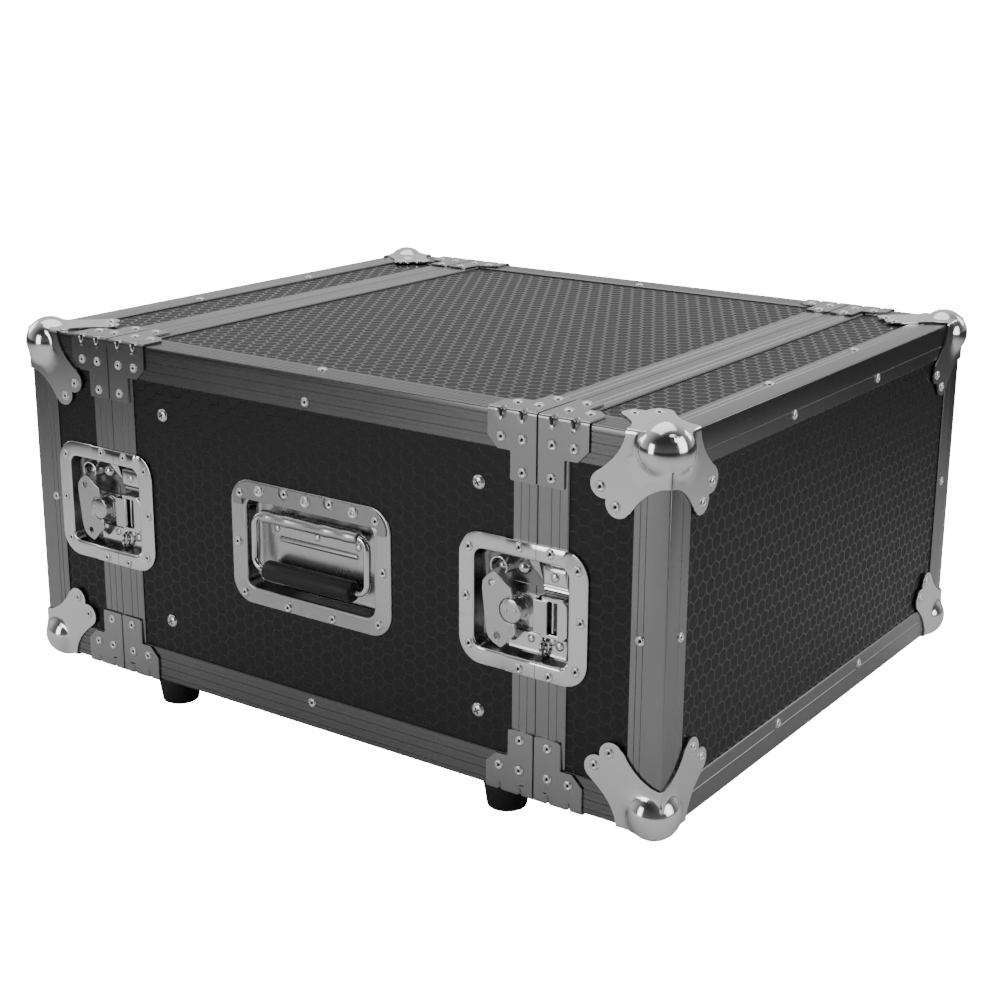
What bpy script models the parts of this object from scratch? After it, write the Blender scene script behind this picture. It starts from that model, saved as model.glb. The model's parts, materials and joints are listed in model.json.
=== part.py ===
"""A 6U double-door rack flight case for professional audio gear, closed, standing on its feet.

X runs across the rack width, -Y is the front lid, +Z is up. The origin is under the middle of the
case, at the bottom of the feet. Depths are measured inwards from a side's outer face.
"""

import math

import bmesh
import bpy
from mathutils import Matrix, Vector

# Overall sizes of the case, over its aluminium edges.
WIDTH = 0.530
HEIGHT = 0.296
BODY_DEPTH = 0.436
FRONT_LID_DEPTH = 0.1083
REAR_LID_DEPTH = 0.0977
FOOT_LIFT = 0.0266

# Walls: a laminated panel set just inside an aluminium edge profile.
EDGE_WALL = 0.0012
EDGE_LEG = 0.0294
PANEL = 0.012
FIT = 0.0003
PANEL_INSET = EDGE_WALL + FIT
WALL = PANEL_INSET + PANEL

# Mouth profiles: the tongue of a lid enters the groove of the body.
LID_GAP = 0.0005
NARROW_LEG = 0.0215
WIDE_LEG = 0.0265
RIM = 0.006
LID_RIM = 0.004
SIDE_RIM_DEPTH = 0.016
TONGUE_DEPTH = 0.006
TONGUE_WIDTH = 0.0025
TONGUE_LENGTH = 0.003
TONGUE_PLAY = 0.0005

# Corner braces, one on each side of a joint, on all four edges.
BRACE_WALL = 0.0015
BRACE_ARM_LENGTH = 0.043
BRACE_ARM_WIDTH = 0.029
BRACE_STEM_WIDTH = 0.023
BRACE_STEM_REACH = 0.051
BRACE_CHAMFER = 0.009

# Ball corners.
BALL_RADIUS = 0.021
BALL_INSET = 0.012
BALL_SHELL = 0.002
LEAF_WALL = 0.0015
LEAF_RIVET_FAR = 0.055
LEAF_RIVET_NEAR = 0.042
LEAF_LOBE = 0.0105
LEAF_NECK = 0.011
TIP_CUT = max(0.0005, 3 * BALL_INSET - math.sqrt(3) * (BALL_RADIUS - BALL_SHELL))

# Feet.
FOOT_RADIUS_TOP = 0.0197
FOOT_RADIUS_BOTTOM = 0.0156
FOOT_SCREW_RADIUS = 0.005
FOOT_SCREW_DEPTH = 0.012
FOOT_INSET = 0.025
FOOT_SPACING = 0.353

# Rack rails: 6 units of square holes.
RACK_UNIT = 0.04445
RACK_UNITS = 6
RACK_HOLE_PITCH = 0.015875
RACK_FIRST_HOLE = 0.00635
RACK_HOLE = 0.0095
RACK_HOLE_SPAN = 0.4651
RACK_OPENING = 0.450
RAIL_WALL = 0.002
RAIL_LEG = 0.036
FRONT_RAIL_SETBACK = 0.0347
REAR_RAIL_SETBACK = 0.0413

# Recessed dishes, shared by latches and handles.
DISH_WALL = 0.001
DISH_DEPTH = 0.012
DISH_CORNER = 0.020
DISH_WINDOW_CORNER = 0.008
DISH_DRAFT = 0.003
DISH_PLAY = 0.0005
LATCH_FLANGE = 0.0012
HANDLE_FLANGE = 0.0009

# Butterfly latches, astride each joint on both sides.
LATCH_HEIGHT = 0.104
LATCH_KNOB_SIDE = 0.0697
LATCH_KEEPER_SIDE = 0.044
LATCH_RISE = 0.0004
WINDOW_KNOB_SIDE = 0.0564
WINDOW_KEEPER_SIDE = 0.0275
LATCH_WINDOW_HEIGHT = 0.0774
KNOB_SETBACK = 0.0232
KNOB_DROP = 0.0044
KNOB_RADIUS = 0.0094
KNOB_HEAD = 0.0014
NECK_RADIUS = 0.005
COLLAR_RADIUS = 0.0106
COLLAR_TOP = 0.0062
COLLAR_BOTTOM = 0.0086
PIN_RADIUS = 0.0011
PIN_DEPTH = 0.0026
PIN_REACH = 0.0132
WING_TILT = math.radians(-7)
WING_TOP = 0.0005
WING_WALL = 0.0016
WING_NOTCH = 0.0102
WING_REACH = 0.0242
WING_HEEL = 0.0025
WING_HOLE_RADIUS = 0.003
WING_HOLE_OUT = 0.0146
WING_HOLE_UP = 0.0206
KNUCKLE_RADIUS = 0.0023
KNUCKLE_BORE = 0.0015
KNUCKLE_LENGTH = 0.003
HOOK_WALL = 0.0015
HOOK_WIDTH = 0.0256
HOOK_TAIL = 0.015
HOOK_TRAVEL = 0.0045
HOOK_RISER = 0.0052
HOOK_TONGUE = 0.0073
TONGUE_TOP = 0.0025
STRIKE_TOP = TONGUE_TOP + HOOK_WALL + FIT
STRIKE_NEAR = 0.0018
STRIKE_FAR = 0.0238
STRIKE_HEIGHT = 0.032
STRIKE_CHAMFER = 0.004
SLOT_NEAR = 0.0067
SLOT_FAR = 0.015
SLOT_HEIGHT = 0.025
SLOT_DEPTH = 0.005

# Spring handles in the middle of the sides.
HANDLE_LENGTH = 0.1657
HANDLE_HEIGHT = 0.1055
HANDLE_DROP = 0.0005
HANDLE_WINDOW_LENGTH = 0.1328
HANDLE_WINDOW_HEIGHT = 0.0757
HANDLE_WINDOW_DROP = 0.001
BAIL_WIRE = 0.003
BAIL_SPAN = 0.1174
BAIL_DROP = 0.0452
BAIL_CORNER = 0.009
BAIL_TOP_DEPTH = 0.002
BAIL_BOTTOM_DEPTH = 0.001
BAIL_PIVOT_RISE = 0.0242
GRIP_RADIUS = 0.0083
GRIP_LENGTH = 0.091
GRIP_BORE = 0.0034
ROLL_BORE = 0.0035
ROLL_WALL = 0.0011
ROLL_LENGTH = 0.1
STRAP_WALL = 0.0009
STRAP_REACH = 0.0168

TOTAL_DEPTH = FRONT_LID_DEPTH + BODY_DEPTH + REAR_LID_DEPTH
FRONT_FACE = -TOTAL_DEPTH / 2
REAR_FACE = TOTAL_DEPTH / 2
FRONT_SPLIT = FRONT_FACE + FRONT_LID_DEPTH
REAR_SPLIT = REAR_FACE - REAR_LID_DEPTH
BODY_MIDDLE = (FRONT_SPLIT + REAR_SPLIT) / 2
BOTTOM = FOOT_LIFT
TOP = FOOT_LIFT + HEIGHT
MIDDLE = FOOT_LIFT + HEIGHT / 2
HALF_WIDTH = WIDTH / 2
KNOB_HEIGHT = MIDDLE + LATCH_RISE - KNOB_DROP
PIVOT_HEIGHT = MIDDLE + BAIL_PIVOT_RISE
SIDES = {"left": -1, "right": 1}

# Colour, roughness and metallic value of each material.
FINISHES = {
    "laminate": ((0.016, 0.016, 0.017), 0.5, 0.0),
    "anodised_aluminium": ((0.36, 0.36, 0.37), 0.38, 0.9),
    "nickel_plate": ((0.72, 0.71, 0.70), 0.2, 1.0),
    "zinc_plate": ((0.60, 0.60, 0.61), 0.3, 1.0),
    "rail_steel": ((0.10, 0.10, 0.11), 0.45, 0.8),
    "black_rubber": ((0.012, 0.012, 0.012), 0.7, 0.0),
}


# ---- Shape helpers ----


def clear_scene():
    for item in list(bpy.data.objects):
        bpy.data.objects.remove(item, do_unlink=True)


def make_material(name):
    colour, roughness, metallic = FINISHES[name]
    material = bpy.data.materials.new(name)
    material.use_nodes = True
    shader = material.node_tree.nodes["Principled BSDF"]
    shader.inputs["Base Color"].default_value = (*colour, 1.0)
    shader.inputs["Roughness"].default_value = roughness
    shader.inputs["Metallic"].default_value = metallic
    material.diffuse_color = (*colour, 1.0)
    return material


def finish_mesh(shape):
    bmesh.ops.recalc_face_normals(shape, faces=shape.faces)
    mesh = bpy.data.meshes.new("shape")
    shape.to_mesh(mesh)
    shape.free()
    return mesh


def loft(loops, closed=False):
    """Skin through loops of equally many points, capped at both ends or joined round into a ring."""
    shape = bmesh.new()
    rings = [[shape.verts.new(point) for point in loop] for loop in loops]
    pairs = list(zip(rings, rings[1:]))
    if closed:
        pairs.append((rings[-1], rings[0]))
    for first, second in pairs:
        for i in range(len(first)):
            j = (i + 1) % len(first)
            shape.faces.new((first[i], first[j], second[j], second[i]))
    if not closed:
        shape.faces.new(rings[0])
        shape.faces.new(rings[-1])
    return finish_mesh(shape)


def prism(outline, axis, low, high):
    """Outline in the two axes that aren't the extrusion's, in X, Y, Z order."""
    def lift(point, level):
        spot = list(point)
        spot.insert("xyz".index(axis), level)
        return spot
    return loft([[lift(point, level) for point in outline] for level in (low, high)])


def box(low, high):
    outline = [(low[0], low[1]), (high[0], low[1]), (high[0], high[1]), (low[0], high[1])]
    return prism(outline, "z", low[2], high[2])


def arc(centre, radius, start, end, steps):
    """Points on an arc, angles in degrees."""
    turns = [math.radians(start + (end - start) * i / steps) for i in range(steps + 1)]
    return [(centre[0] + radius * math.cos(t), centre[1] + radius * math.sin(t)) for t in turns]


def rounded_outline(low, high, radius, steps=4):
    corners = (
        ((high[0] - radius, high[1] - radius), 0),
        ((low[0] + radius, high[1] - radius), 90),
        ((low[0] + radius, low[1] + radius), 180),
        ((high[0] - radius, low[1] + radius), 270),
    )
    return [p for centre, start in corners for p in arc(centre, radius, start, start + 90, steps)]


def turned(section, frame, steps=16):
    """A closed section of (radius, height) turned about the Z axis of frame."""
    shape = bmesh.new()
    turns = [math.tau * i / steps for i in range(steps)]
    rings = []
    for radius, height in section:
        spots = [(radius * math.cos(t), radius * math.sin(t), height) for t in turns]
        if radius == 0:
            rings.append([shape.verts.new(frame @ Vector((0, 0, height)))] * steps)
        else:
            rings.append([shape.verts.new(frame @ Vector(spot)) for spot in spots])
    on_axis = section[0][0] == 0 and section[-1][0] == 0
    pairs = list(zip(rings, rings[1:]))
    if not on_axis:
        pairs.append((rings[-1], rings[0]))
    for first, second in pairs:
        for i in range(steps):
            j = (i + 1) % steps
            corners = []
            for vert in (first[i], first[j], second[j], second[i]):
                if vert not in corners:
                    corners.append(vert)
            shape.faces.new(corners)
    return finish_mesh(shape)


def tube(path, radius, normal, sides=8):
    """A round wire along a closed flat path."""
    loops = []
    count = len(path)
    for i, point in enumerate(path):
        tangent = (Vector(path[(i + 1) % count]) - Vector(path[i - 1])).normalized()
        across = tangent.cross(normal).normalized()
        turns = [math.tau * k / sides for k in range(sides)]
        centre = Vector(point)
        ring = [centre + radius * (math.cos(t) * across + math.sin(t) * normal) for t in turns]
        loops.append(ring)
    return loft(loops, closed=True)


def frame_ring(section):
    """A mitred rectangular frame round the Y axis, from (side inset, top inset, y) points."""
    loops = []
    for side, rise in ((1, 1), (-1, 1), (-1, -1), (1, -1)):
        loops.append([
            (side * (HALF_WIDTH - inset_x), y, MIDDLE + rise * (HEIGHT / 2 - inset_z))
            for inset_x, inset_z, y in section
        ])
    return loft(loops, closed=True)


def combine(base, tools, operation):
    """Applies each tool mesh to the base mesh with an exact Boolean, and discards the tools."""
    work = bpy.data.objects.new("work", base)
    bpy.context.collection.objects.link(work)
    helpers = []
    for tool in tools:
        helper = bpy.data.objects.new("tool", tool)
        bpy.context.collection.objects.link(helper)
        helpers.append(helper)
        modifier = work.modifiers.new("Cut", "BOOLEAN")
        modifier.operation = operation
        modifier.solver = "EXACT"
        modifier.object = helper
    evaluated = work.evaluated_get(bpy.context.evaluated_depsgraph_get())
    mesh = bpy.data.meshes.new_from_object(evaluated)
    for item in (work, *helpers):
        bpy.data.objects.remove(item, do_unlink=True)
    return mesh


def cut(base, *tools):
    return combine(base, tools, "DIFFERENCE")


def fuse(base, *tools):
    return combine(base, tools, "UNION")


def mirrored(mesh, signs):
    """A copy mirrored across the planes whose sign is negative, in X, Y, Z order, about MIDDLE in Z."""
    copy = mesh.copy()
    shift = Matrix.Translation((0, 0, MIDDLE))
    copy.transform(shift @ Matrix.Diagonal((*signs, 1)) @ shift.inverted())
    if math.prod(signs) < 0:
        copy.flip_normals()
    return copy


def add_part(name, mesh, material, origin=(0, 0, 0), smooth=True):
    """A named object with its origin moved to the given point, where a joint's axis passes."""
    mesh.transform(Matrix.Translation(-Vector(origin)))
    mesh.name = name
    mesh.materials.clear()
    mesh.materials.append(material)
    part = bpy.data.objects.new(name, mesh)
    part.location = origin
    bpy.context.collection.objects.link(part)
    if smooth:
        mesh.shade_smooth()
        mesh.set_sharp_from_angle(angle=math.radians(35))
    return part


def across(side, depth):
    """X of a point at a depth inside the outer face of a side."""
    return side * (HALF_WIDTH - depth)


def slab(side, depths, ys, zs):
    """A box given by its two depths inside a side's outer face."""
    xs = sorted(across(side, depth) for depth in depths)
    return box((xs[0], ys[0], zs[0]), (xs[1], ys[1], zs[1]))


def side_prism(side, outline, depths):
    """An outline in Y and Z extruded between two depths."""
    xs = sorted(across(side, depth) for depth in depths)
    return prism(outline, "x", *xs)


# ---- Latch and handle windows ----


def latch_window_cutter(side, split):
    """Clears a latch's dish from panels and profiles."""
    spare = DISH_WALL + DISH_PLAY
    ys = (split - WINDOW_KEEPER_SIDE - spare, split + WINDOW_KNOB_SIDE + spare)
    half = LATCH_WINDOW_HEIGHT / 2 + spare
    middle = MIDDLE + LATCH_RISE
    depth = DISH_DEPTH + DISH_WALL + FIT
    return slab(side, (-0.001, depth), ys, (middle - half, middle + half))


def latch_panel_cutter(side, split):
    """As latch_window_cutter, but through the whole panel."""
    spare = DISH_WALL + DISH_PLAY
    ys = (split - WINDOW_KEEPER_SIDE - spare, split + WINDOW_KNOB_SIDE + spare)
    half = LATCH_WINDOW_HEIGHT / 2 + spare
    middle = MIDDLE + LATCH_RISE
    return slab(side, (-0.001, WALL + 0.001), ys, (middle - half, middle + half))


def handle_panel_cutter(side):
    spare = DISH_WALL + DISH_PLAY
    half_y = HANDLE_WINDOW_LENGTH / 2 + spare
    half_z = HANDLE_WINDOW_HEIGHT / 2 + spare
    middle = MIDDLE - HANDLE_WINDOW_DROP
    ys = (BODY_MIDDLE - half_y, BODY_MIDDLE + half_y)
    return slab(side, (-0.001, WALL + 0.001), ys, (middle - half_z, middle + half_z))


def dish(side, flange, window, flange_depths):
    """A pressed dish: flange and window are (y low, y high, z low, z high) rectangles."""
    def ring(rect, inset, radius, depth):
        low = (rect[0] + inset, rect[2] + inset)
        high = (rect[1] - inset, rect[3] - inset)
        outline = rounded_outline(low, high, radius)
        return [(across(side, depth), y, z) for y, z in outline]
    top, under = flange_depths
    inner = DISH_WINDOW_CORNER
    loops = [
        ring(window, DISH_DRAFT, inner, DISH_DEPTH),
        ring(window, 0, inner, top),
        ring(flange, 0, DISH_CORNER, top),
        ring(flange, 0, DISH_CORNER, under),
        ring(window, -DISH_WALL, inner, under),
        ring(window, DISH_DRAFT - DISH_WALL, inner, DISH_DEPTH + DISH_WALL),
    ]
    return loft(loops)


# ---- Body ----


def build_body_panels(materials):
    ys = (FRONT_SPLIT + RIM + FIT, REAR_SPLIT - RIM - FIT)
    half = HALF_WIDTH - PANEL_INSET
    skin, core = PANEL_INSET, WALL
    laminate = materials["laminate"]
    top = box((-half, ys[0], TOP - core), (half, ys[1], TOP - skin))
    add_part("body_top_panel", top, laminate, smooth=False)
    bottom = box((-half, ys[0], BOTTOM + skin), (half, ys[1], BOTTOM + core))
    add_part("body_bottom_panel", bottom, laminate, smooth=False)
    for name, side in SIDES.items():
        zs = (BOTTOM + core + FIT, TOP - core - FIT)
        panel = slab(side, (skin, core), ys, zs)
        panel = cut(
            panel,
            latch_panel_cutter(side, FRONT_SPLIT),
            latch_panel_cutter(side, REAR_SPLIT),
            handle_panel_cutter(side),
        )
        add_part(f"body_{name}_panel", panel, laminate, smooth=False)


def corner_angle(side, rise, ys):
    """An L profile along Y on one of the four long edges."""
    leg, wall = EDGE_LEG, EDGE_WALL
    insets = [(0, 0), (leg, 0), (leg, wall), (wall, wall), (wall, leg), (0, leg)]
    edge_z = MIDDLE + rise * HEIGHT / 2
    outline = [(across(side, dx), edge_z - rise * dz) for dx, dz in insets]
    return prism(outline, "y", *ys)


def build_body_edges(materials):
    ys = (FRONT_SPLIT + NARROW_LEG + FIT, REAR_SPLIT - WIDE_LEG - FIT)
    for name, side in SIDES.items():
        for level, rise in (("top", 1), ("bottom", -1)):
            angle = corner_angle(side, rise, ys)
            add_part(f"body_{level}_{name}_edge", angle, materials["anodised_aluminium"], smooth=False)


def mouth_section(split, inwards, leg, grooved):
    """Profile round a mouth. inwards is the Y direction from the split into the piece."""
    start = LID_GAP / 2
    side_rim, top_rim = SIDE_RIM_DEPTH, WALL
    if grooved:
        near, far = TONGUE_DEPTH - TONGUE_PLAY, TONGUE_DEPTH + TONGUE_WIDTH + TONGUE_PLAY
        reach, rim = TONGUE_LENGTH + 2 * TONGUE_PLAY, RIM
    else:
        near, far = TONGUE_DEPTH, TONGUE_DEPTH + TONGUE_WIDTH
        reach, rim = -TONGUE_LENGTH, LID_RIM
    flat = [
        (0, start), (near, start), (near, reach), (far, reach), (far, start),
        (None, start), (None, rim), (EDGE_WALL, rim), (EDGE_WALL, leg), (0, leg),
    ]
    section = []
    for inset, along in flat:
        insets = (side_rim, top_rim) if inset is None else (inset, inset)
        section.append((*insets, split + inwards * along))
    return section


def brace(split, inwards, leg):
    """The brace on the top edge of the right side, lying just over the edge profiles."""
    low, high = FIT, FIT + BRACE_WALL
    start = LID_GAP / 2
    flat = [
        (start, -high), (BRACE_ARM_LENGTH, -high),
        (BRACE_ARM_LENGTH, BRACE_ARM_WIDTH - BRACE_CHAMFER),
        (BRACE_ARM_LENGTH - BRACE_CHAMFER, BRACE_ARM_WIDTH),
        (BRACE_STEM_WIDTH, BRACE_ARM_WIDTH), (BRACE_STEM_WIDTH, BRACE_STEM_REACH),
        (start, BRACE_STEM_REACH),
    ]
    on_side = [(split + inwards * y, TOP - inset) for y, inset in flat]
    on_top = [(HALF_WIDTH - inset, split + inwards * y) for y, inset in flat]
    side_plate = prism(on_side, "x", HALF_WIDTH + low, HALF_WIDTH + high)
    top_plate = prism(on_top, "z", TOP + low, TOP + high)
    ys = sorted(split + inwards * y for y in (start, leg - FIT))
    sink = EDGE_WALL / 2
    reach = BRACE_STEM_REACH - 2 * FIT
    side_pad = box(
        (HALF_WIDTH - sink, ys[0], TOP - reach), (HALF_WIDTH + high - FIT, ys[1], TOP + low)
    )
    top_pad = box(
        (HALF_WIDTH - reach, ys[0], TOP - sink), (HALF_WIDTH + low, ys[1], TOP + high - FIT)
    )
    return fuse(side_plate, top_plate, side_pad, top_pad)


def mouth_frame(split, inwards, leg, grooved):
    ring = frame_ring(mouth_section(split, inwards, leg, grooved))
    corner = brace(split, inwards, leg)
    braces = [mirrored(corner, (sx, 1, sz)) for sx in (1, -1) for sz in (1, -1)]
    windows = [latch_window_cutter(side, split) for side in SIDES.values()]
    return cut(fuse(ring, *braces), *windows)


def build_body_mouths(materials):
    metal = materials["anodised_aluminium"]
    front = mouth_frame(FRONT_SPLIT, 1, NARROW_LEG, True)
    add_part("body_front_mouth_frame", front, metal, smooth=False)
    rear = mouth_frame(REAR_SPLIT, -1, WIDE_LEG, True)
    add_part("body_rear_mouth_frame", rear, metal, smooth=False)


def build_feet(materials):
    top = FOOT_LIFT - BRACE_WALL - 2 * FIT
    section = [
        (0, top), (FOOT_RADIUS_TOP, top), (FOOT_RADIUS_BOTTOM, 0),
        (FOOT_SCREW_RADIUS, 0), (FOOT_SCREW_RADIUS, FOOT_SCREW_DEPTH), (0, FOOT_SCREW_DEPTH),
    ]
    for name, side in SIDES.items():
        for place, end in (("front", -1), ("rear", 1)):
            spot = (across(side, FOOT_INSET), BODY_MIDDLE + end * FOOT_SPACING / 2, 0)
            foot = turned(section, Matrix.Translation(spot))
            add_part(f"foot_{place}_{name}", foot, materials["black_rubber"])


def rack_hole_heights(bottom):
    """Centres of a rail's holes: three in each rack unit."""
    for unit in range(RACK_UNITS):
        for hole in range(3):
            yield bottom + unit * RACK_UNIT + RACK_FIRST_HOLE + hole * RACK_HOLE_PITCH


def build_rails(materials):
    length = RACK_UNITS * RACK_UNIT
    bottom = MIDDLE - length / 2
    trim = FIT
    places = {
        "front": (FRONT_SPLIT + FRONT_RAIL_SETBACK, 1),
        "rear": (REAR_SPLIT - REAR_RAIL_SETBACK, -1),
    }
    for place, (face, inwards) in places.items():
        for name, side in SIDES.items():
            wall = WALL + FIT
            tip = HALF_WIDTH - RACK_OPENING / 2
            insets = [
                (wall, 0), (tip, 0), (tip, RAIL_WALL), (wall + RAIL_WALL, RAIL_WALL),
                (wall + RAIL_WALL, RAIL_LEG), (wall, RAIL_LEG),
            ]
            outline = [(across(side, dx), face + inwards * dy) for dx, dy in insets]
            rail = prism(outline, "z", bottom + trim, bottom + length - trim)
            middle, half = side * RACK_HOLE_SPAN / 2, RACK_HOLE / 2
            holes = []
            for height in rack_hole_heights(bottom):
                low = (middle - half, face - RAIL_WALL * 2, height - half)
                high = (middle + half, face + RAIL_WALL * 2, height + half)
                holes.append(box(low, high))
            rail = cut(rail, *holes)
            add_part(f"{place}_{name}_rack_rail", rail, materials["rail_steel"], smooth=False)


# ---- Lids ----


def lid_tray(face, inwards, split):
    """An open box of laminated panels. inwards is the Y direction from the face to the split."""
    mouth = split - inwards * (LID_RIM + FIT)
    half_x, half_z = HALF_WIDTH, HEIGHT / 2
    def rectangle(inset, y):
        spots = ((1, 1), (-1, 1), (-1, -1), (1, -1))
        return [(sx * (half_x - inset), y, MIDDLE + sz * (half_z - inset)) for sx, sz in spots]
    loops = [
        rectangle(PANEL_INSET, face + inwards * PANEL_INSET),
        rectangle(PANEL_INSET, mouth),
        rectangle(WALL, mouth),
        rectangle(WALL, face + inwards * WALL),
    ]
    windows = [latch_panel_cutter(side, split) for side in SIDES.values()]
    return cut(loft(loops), *windows)


def lid_edge_frame(face, inwards, split, leg):
    """Profiles round the lid's face, and four short ones running back to its mouth."""
    insets = [
        (0, 0), (EDGE_LEG, 0), (EDGE_LEG, EDGE_WALL),
        (EDGE_WALL, EDGE_WALL), (EDGE_WALL, EDGE_LEG), (0, EDGE_LEG),
    ]
    ring = frame_ring([(inset, inset, face + inwards * along) for inset, along in insets])
    ys = sorted((face + inwards * EDGE_LEG / 2, split - inwards * (leg + FIT)))
    corners = [(sx, sz) for sx in (1, -1) for sz in (1, -1)]
    angles = [corner_angle(sx, sz, ys) for sx, sz in corners]
    frame = fuse(ring, *angles)
    tips = [corner_tip(face, inwards, sx, sz) for sx, sz in corners]
    return cut(frame, *tips)


def hull(points):
    shape = bmesh.new()
    for point in points:
        shape.verts.new(point)
    made = bmesh.ops.convex_hull(shape, input=shape.verts)
    spare = [item for item in made["geom_interior"] if isinstance(item, bmesh.types.BMVert)]
    bmesh.ops.delete(shape, geom=spare, context="VERTS")
    return finish_mesh(shape)


def corner_point(face, inwards, sx, sz, insets):
    """A point given by its insets from the side, the face and the top or bottom at a lid corner."""
    dx, dy, dz = insets
    return (sx * (HALF_WIDTH - dx), face + inwards * dy, MIDDLE + sz * (HEIGHT / 2 - dz))


def corner_tip(face, inwards, sx, sz):
    """The sharp tip that is ground off under a ball corner."""
    far, reach = -0.002, 3 * TIP_CUT + 0.004
    spots = [(far, far, far), (reach, far, far), (far, reach, far), (far, far, reach)]
    return hull([corner_point(face, inwards, sx, sz, spot) for spot in spots])


def case_corner(grown):
    """The case's own corner with its tip ground off, as insets, to hollow a ball corner."""
    far = LEAF_RIVET_FAR * 1.5
    tip = TIP_CUT - FIT
    low = -grown
    points = [(tip, low, low), (low, tip, low), (low, low, tip)]
    points += [(far, low, low), (low, far, low), (low, low, far)]
    points += [(far, far, low), (far, low, far), (low, far, far), (far, far, far)]
    return points


def leaf_outline():
    """A ball corner's leaf, along and across the face's diagonal, from the ball's centre."""
    root = math.hypot(1, 1)
    along = (LEAF_RIVET_FAR + LEAF_RIVET_NEAR) / root - BALL_INSET * root
    aside = (LEAF_RIVET_FAR - LEAF_RIVET_NEAR) / root
    half = [(0.45 * BALL_RADIUS, LEAF_NECK)]
    for share in (0.2, 0.45, 0.7):
        reach = BALL_RADIUS + share * (along - BALL_RADIUS)
        half.append((reach, LEAF_NECK + share * share * LEAF_LOBE * 0.85))
    half += arc((along, aside), LEAF_LOBE, 115, -35, 5)
    notch = [(along + LEAF_LOBE * 0.42, 0)]
    return half + notch + [(t, -s) for t, s in reversed(half)]


def ball_corner(face, inwards, sx, sz):
    """A pressed ball with three riveted leaves, hollowed to sit on the case's corner."""
    def place(spot):
        return corner_point(face, inwards, sx, sz, spot)
    shape = bmesh.new()
    bmesh.ops.create_uvsphere(shape, u_segments=16, v_segments=10, radius=BALL_RADIUS)
    for vert in shape.verts:
        vert.co = Vector(place((BALL_INSET,) * 3)) + vert.co
    ball = finish_mesh(shape)
    root = math.sqrt(0.5)
    leaves = []
    for axis in range(3):
        loops = []
        for height in (FIT, FIT + LEAF_WALL):
            loop = []
            for t, s in leaf_outline():
                spot = [BALL_INSET + (t + s) * root, BALL_INSET + (t - s) * root]
                spot.insert(axis, -height)
                loop.append(place(spot))
            loops.append(loop)
        leaves.append(loft(loops))
    corner = hull([place(spot) for spot in case_corner(FIT)])
    return cut(fuse(ball, *leaves), corner)


def build_lid(name, face, inwards, split, leg, materials):
    tray = lid_tray(face, inwards, split)
    add_part(f"{name}_lid_tray", tray, materials["laminate"], smooth=False)
    edges = lid_edge_frame(face, inwards, split, leg)
    add_part(f"{name}_lid_edge_frame", edges, materials["anodised_aluminium"], smooth=False)
    mouth = mouth_frame(split, -inwards, leg, False)
    add_part(f"{name}_lid_mouth_frame", mouth, materials["anodised_aluminium"], smooth=False)
    for side_name, side in SIDES.items():
        for level, rise in (("top", 1), ("bottom", -1)):
            corner = ball_corner(face, inwards, side, rise)
            part_name = f"{name}_lid_{level}_{side_name}_corner"
            add_part(part_name, corner, materials["nickel_plate"])


# ---- Latches ----


def latch_dish_halves(side, split):
    """The whole dish cut at the joint into its knob half and its keeper half."""
    middle = MIDDLE + LATCH_RISE
    flange = (
        split - LATCH_KEEPER_SIDE, split + LATCH_KNOB_SIDE,
        middle - LATCH_HEIGHT / 2, middle + LATCH_HEIGHT / 2,
    )
    window = (
        split - WINDOW_KEEPER_SIDE, split + WINDOW_KNOB_SIDE,
        middle - LATCH_WINDOW_HEIGHT / 2, middle + LATCH_WINDOW_HEIGHT / 2,
    )
    depths = (-FIT - LATCH_FLANGE, -FIT)
    gap = LID_GAP / 2
    span = LATCH_HEIGHT
    zs = (middle - span, middle + span)
    keeper_space = slab(side, (-0.01, 0.03), (split - span, split + gap), zs)
    knob_space = slab(side, (-0.01, 0.03), (split - gap, split + span), zs)
    knob_half = cut(dish(side, flange, window, depths), keeper_space)
    keeper_half = cut(dish(side, flange, window, depths), knob_space)
    return knob_half, keeper_half


def spindle_frame(side, split):
    """Local Z runs inwards along the knob's axis, from the outer face."""
    origin = Vector((across(side, 0), split + KNOB_SETBACK, KNOB_HEIGHT))
    inward = Vector((-side, 0, 0))
    up = Vector((0, -math.sin(WING_TILT), math.cos(WING_TILT)))
    out = Vector((0, math.cos(WING_TILT), math.sin(WING_TILT)))
    frame = Matrix((out, up, inward)).transposed().to_4x4()
    frame.translation = origin
    return frame


def pin_frame(side, split):
    """Local Z runs along the wing's hinge pin, through the knob's axis."""
    base = spindle_frame(side, split)
    out, up, inward = (base.col[i].to_3d() for i in range(3))
    frame = Matrix((inward, out, up)).transposed().to_4x4()
    frame.translation = base @ Vector((0, 0, PIN_DEPTH))
    return frame


def rod(radius, low, high):
    return [(0, low), (radius, low), (radius, high), (0, high)]


def spindle_shape(side, split):
    floor = DISH_DEPTH - FIT
    section = [
        (0, 0), (KNOB_RADIUS, 0), (KNOB_RADIUS, KNOB_HEAD), (NECK_RADIUS, KNOB_HEAD),
        (NECK_RADIUS, COLLAR_TOP), (COLLAR_RADIUS, COLLAR_TOP), (COLLAR_RADIUS, COLLAR_BOTTOM),
        (NECK_RADIUS, COLLAR_BOTTOM), (NECK_RADIUS, floor), (0, floor),
    ]
    body = turned(section, spindle_frame(side, split))
    pin = turned(rod(PIN_RADIUS, -PIN_REACH, PIN_REACH), pin_frame(side, split), 8)
    return fuse(body, pin)


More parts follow.
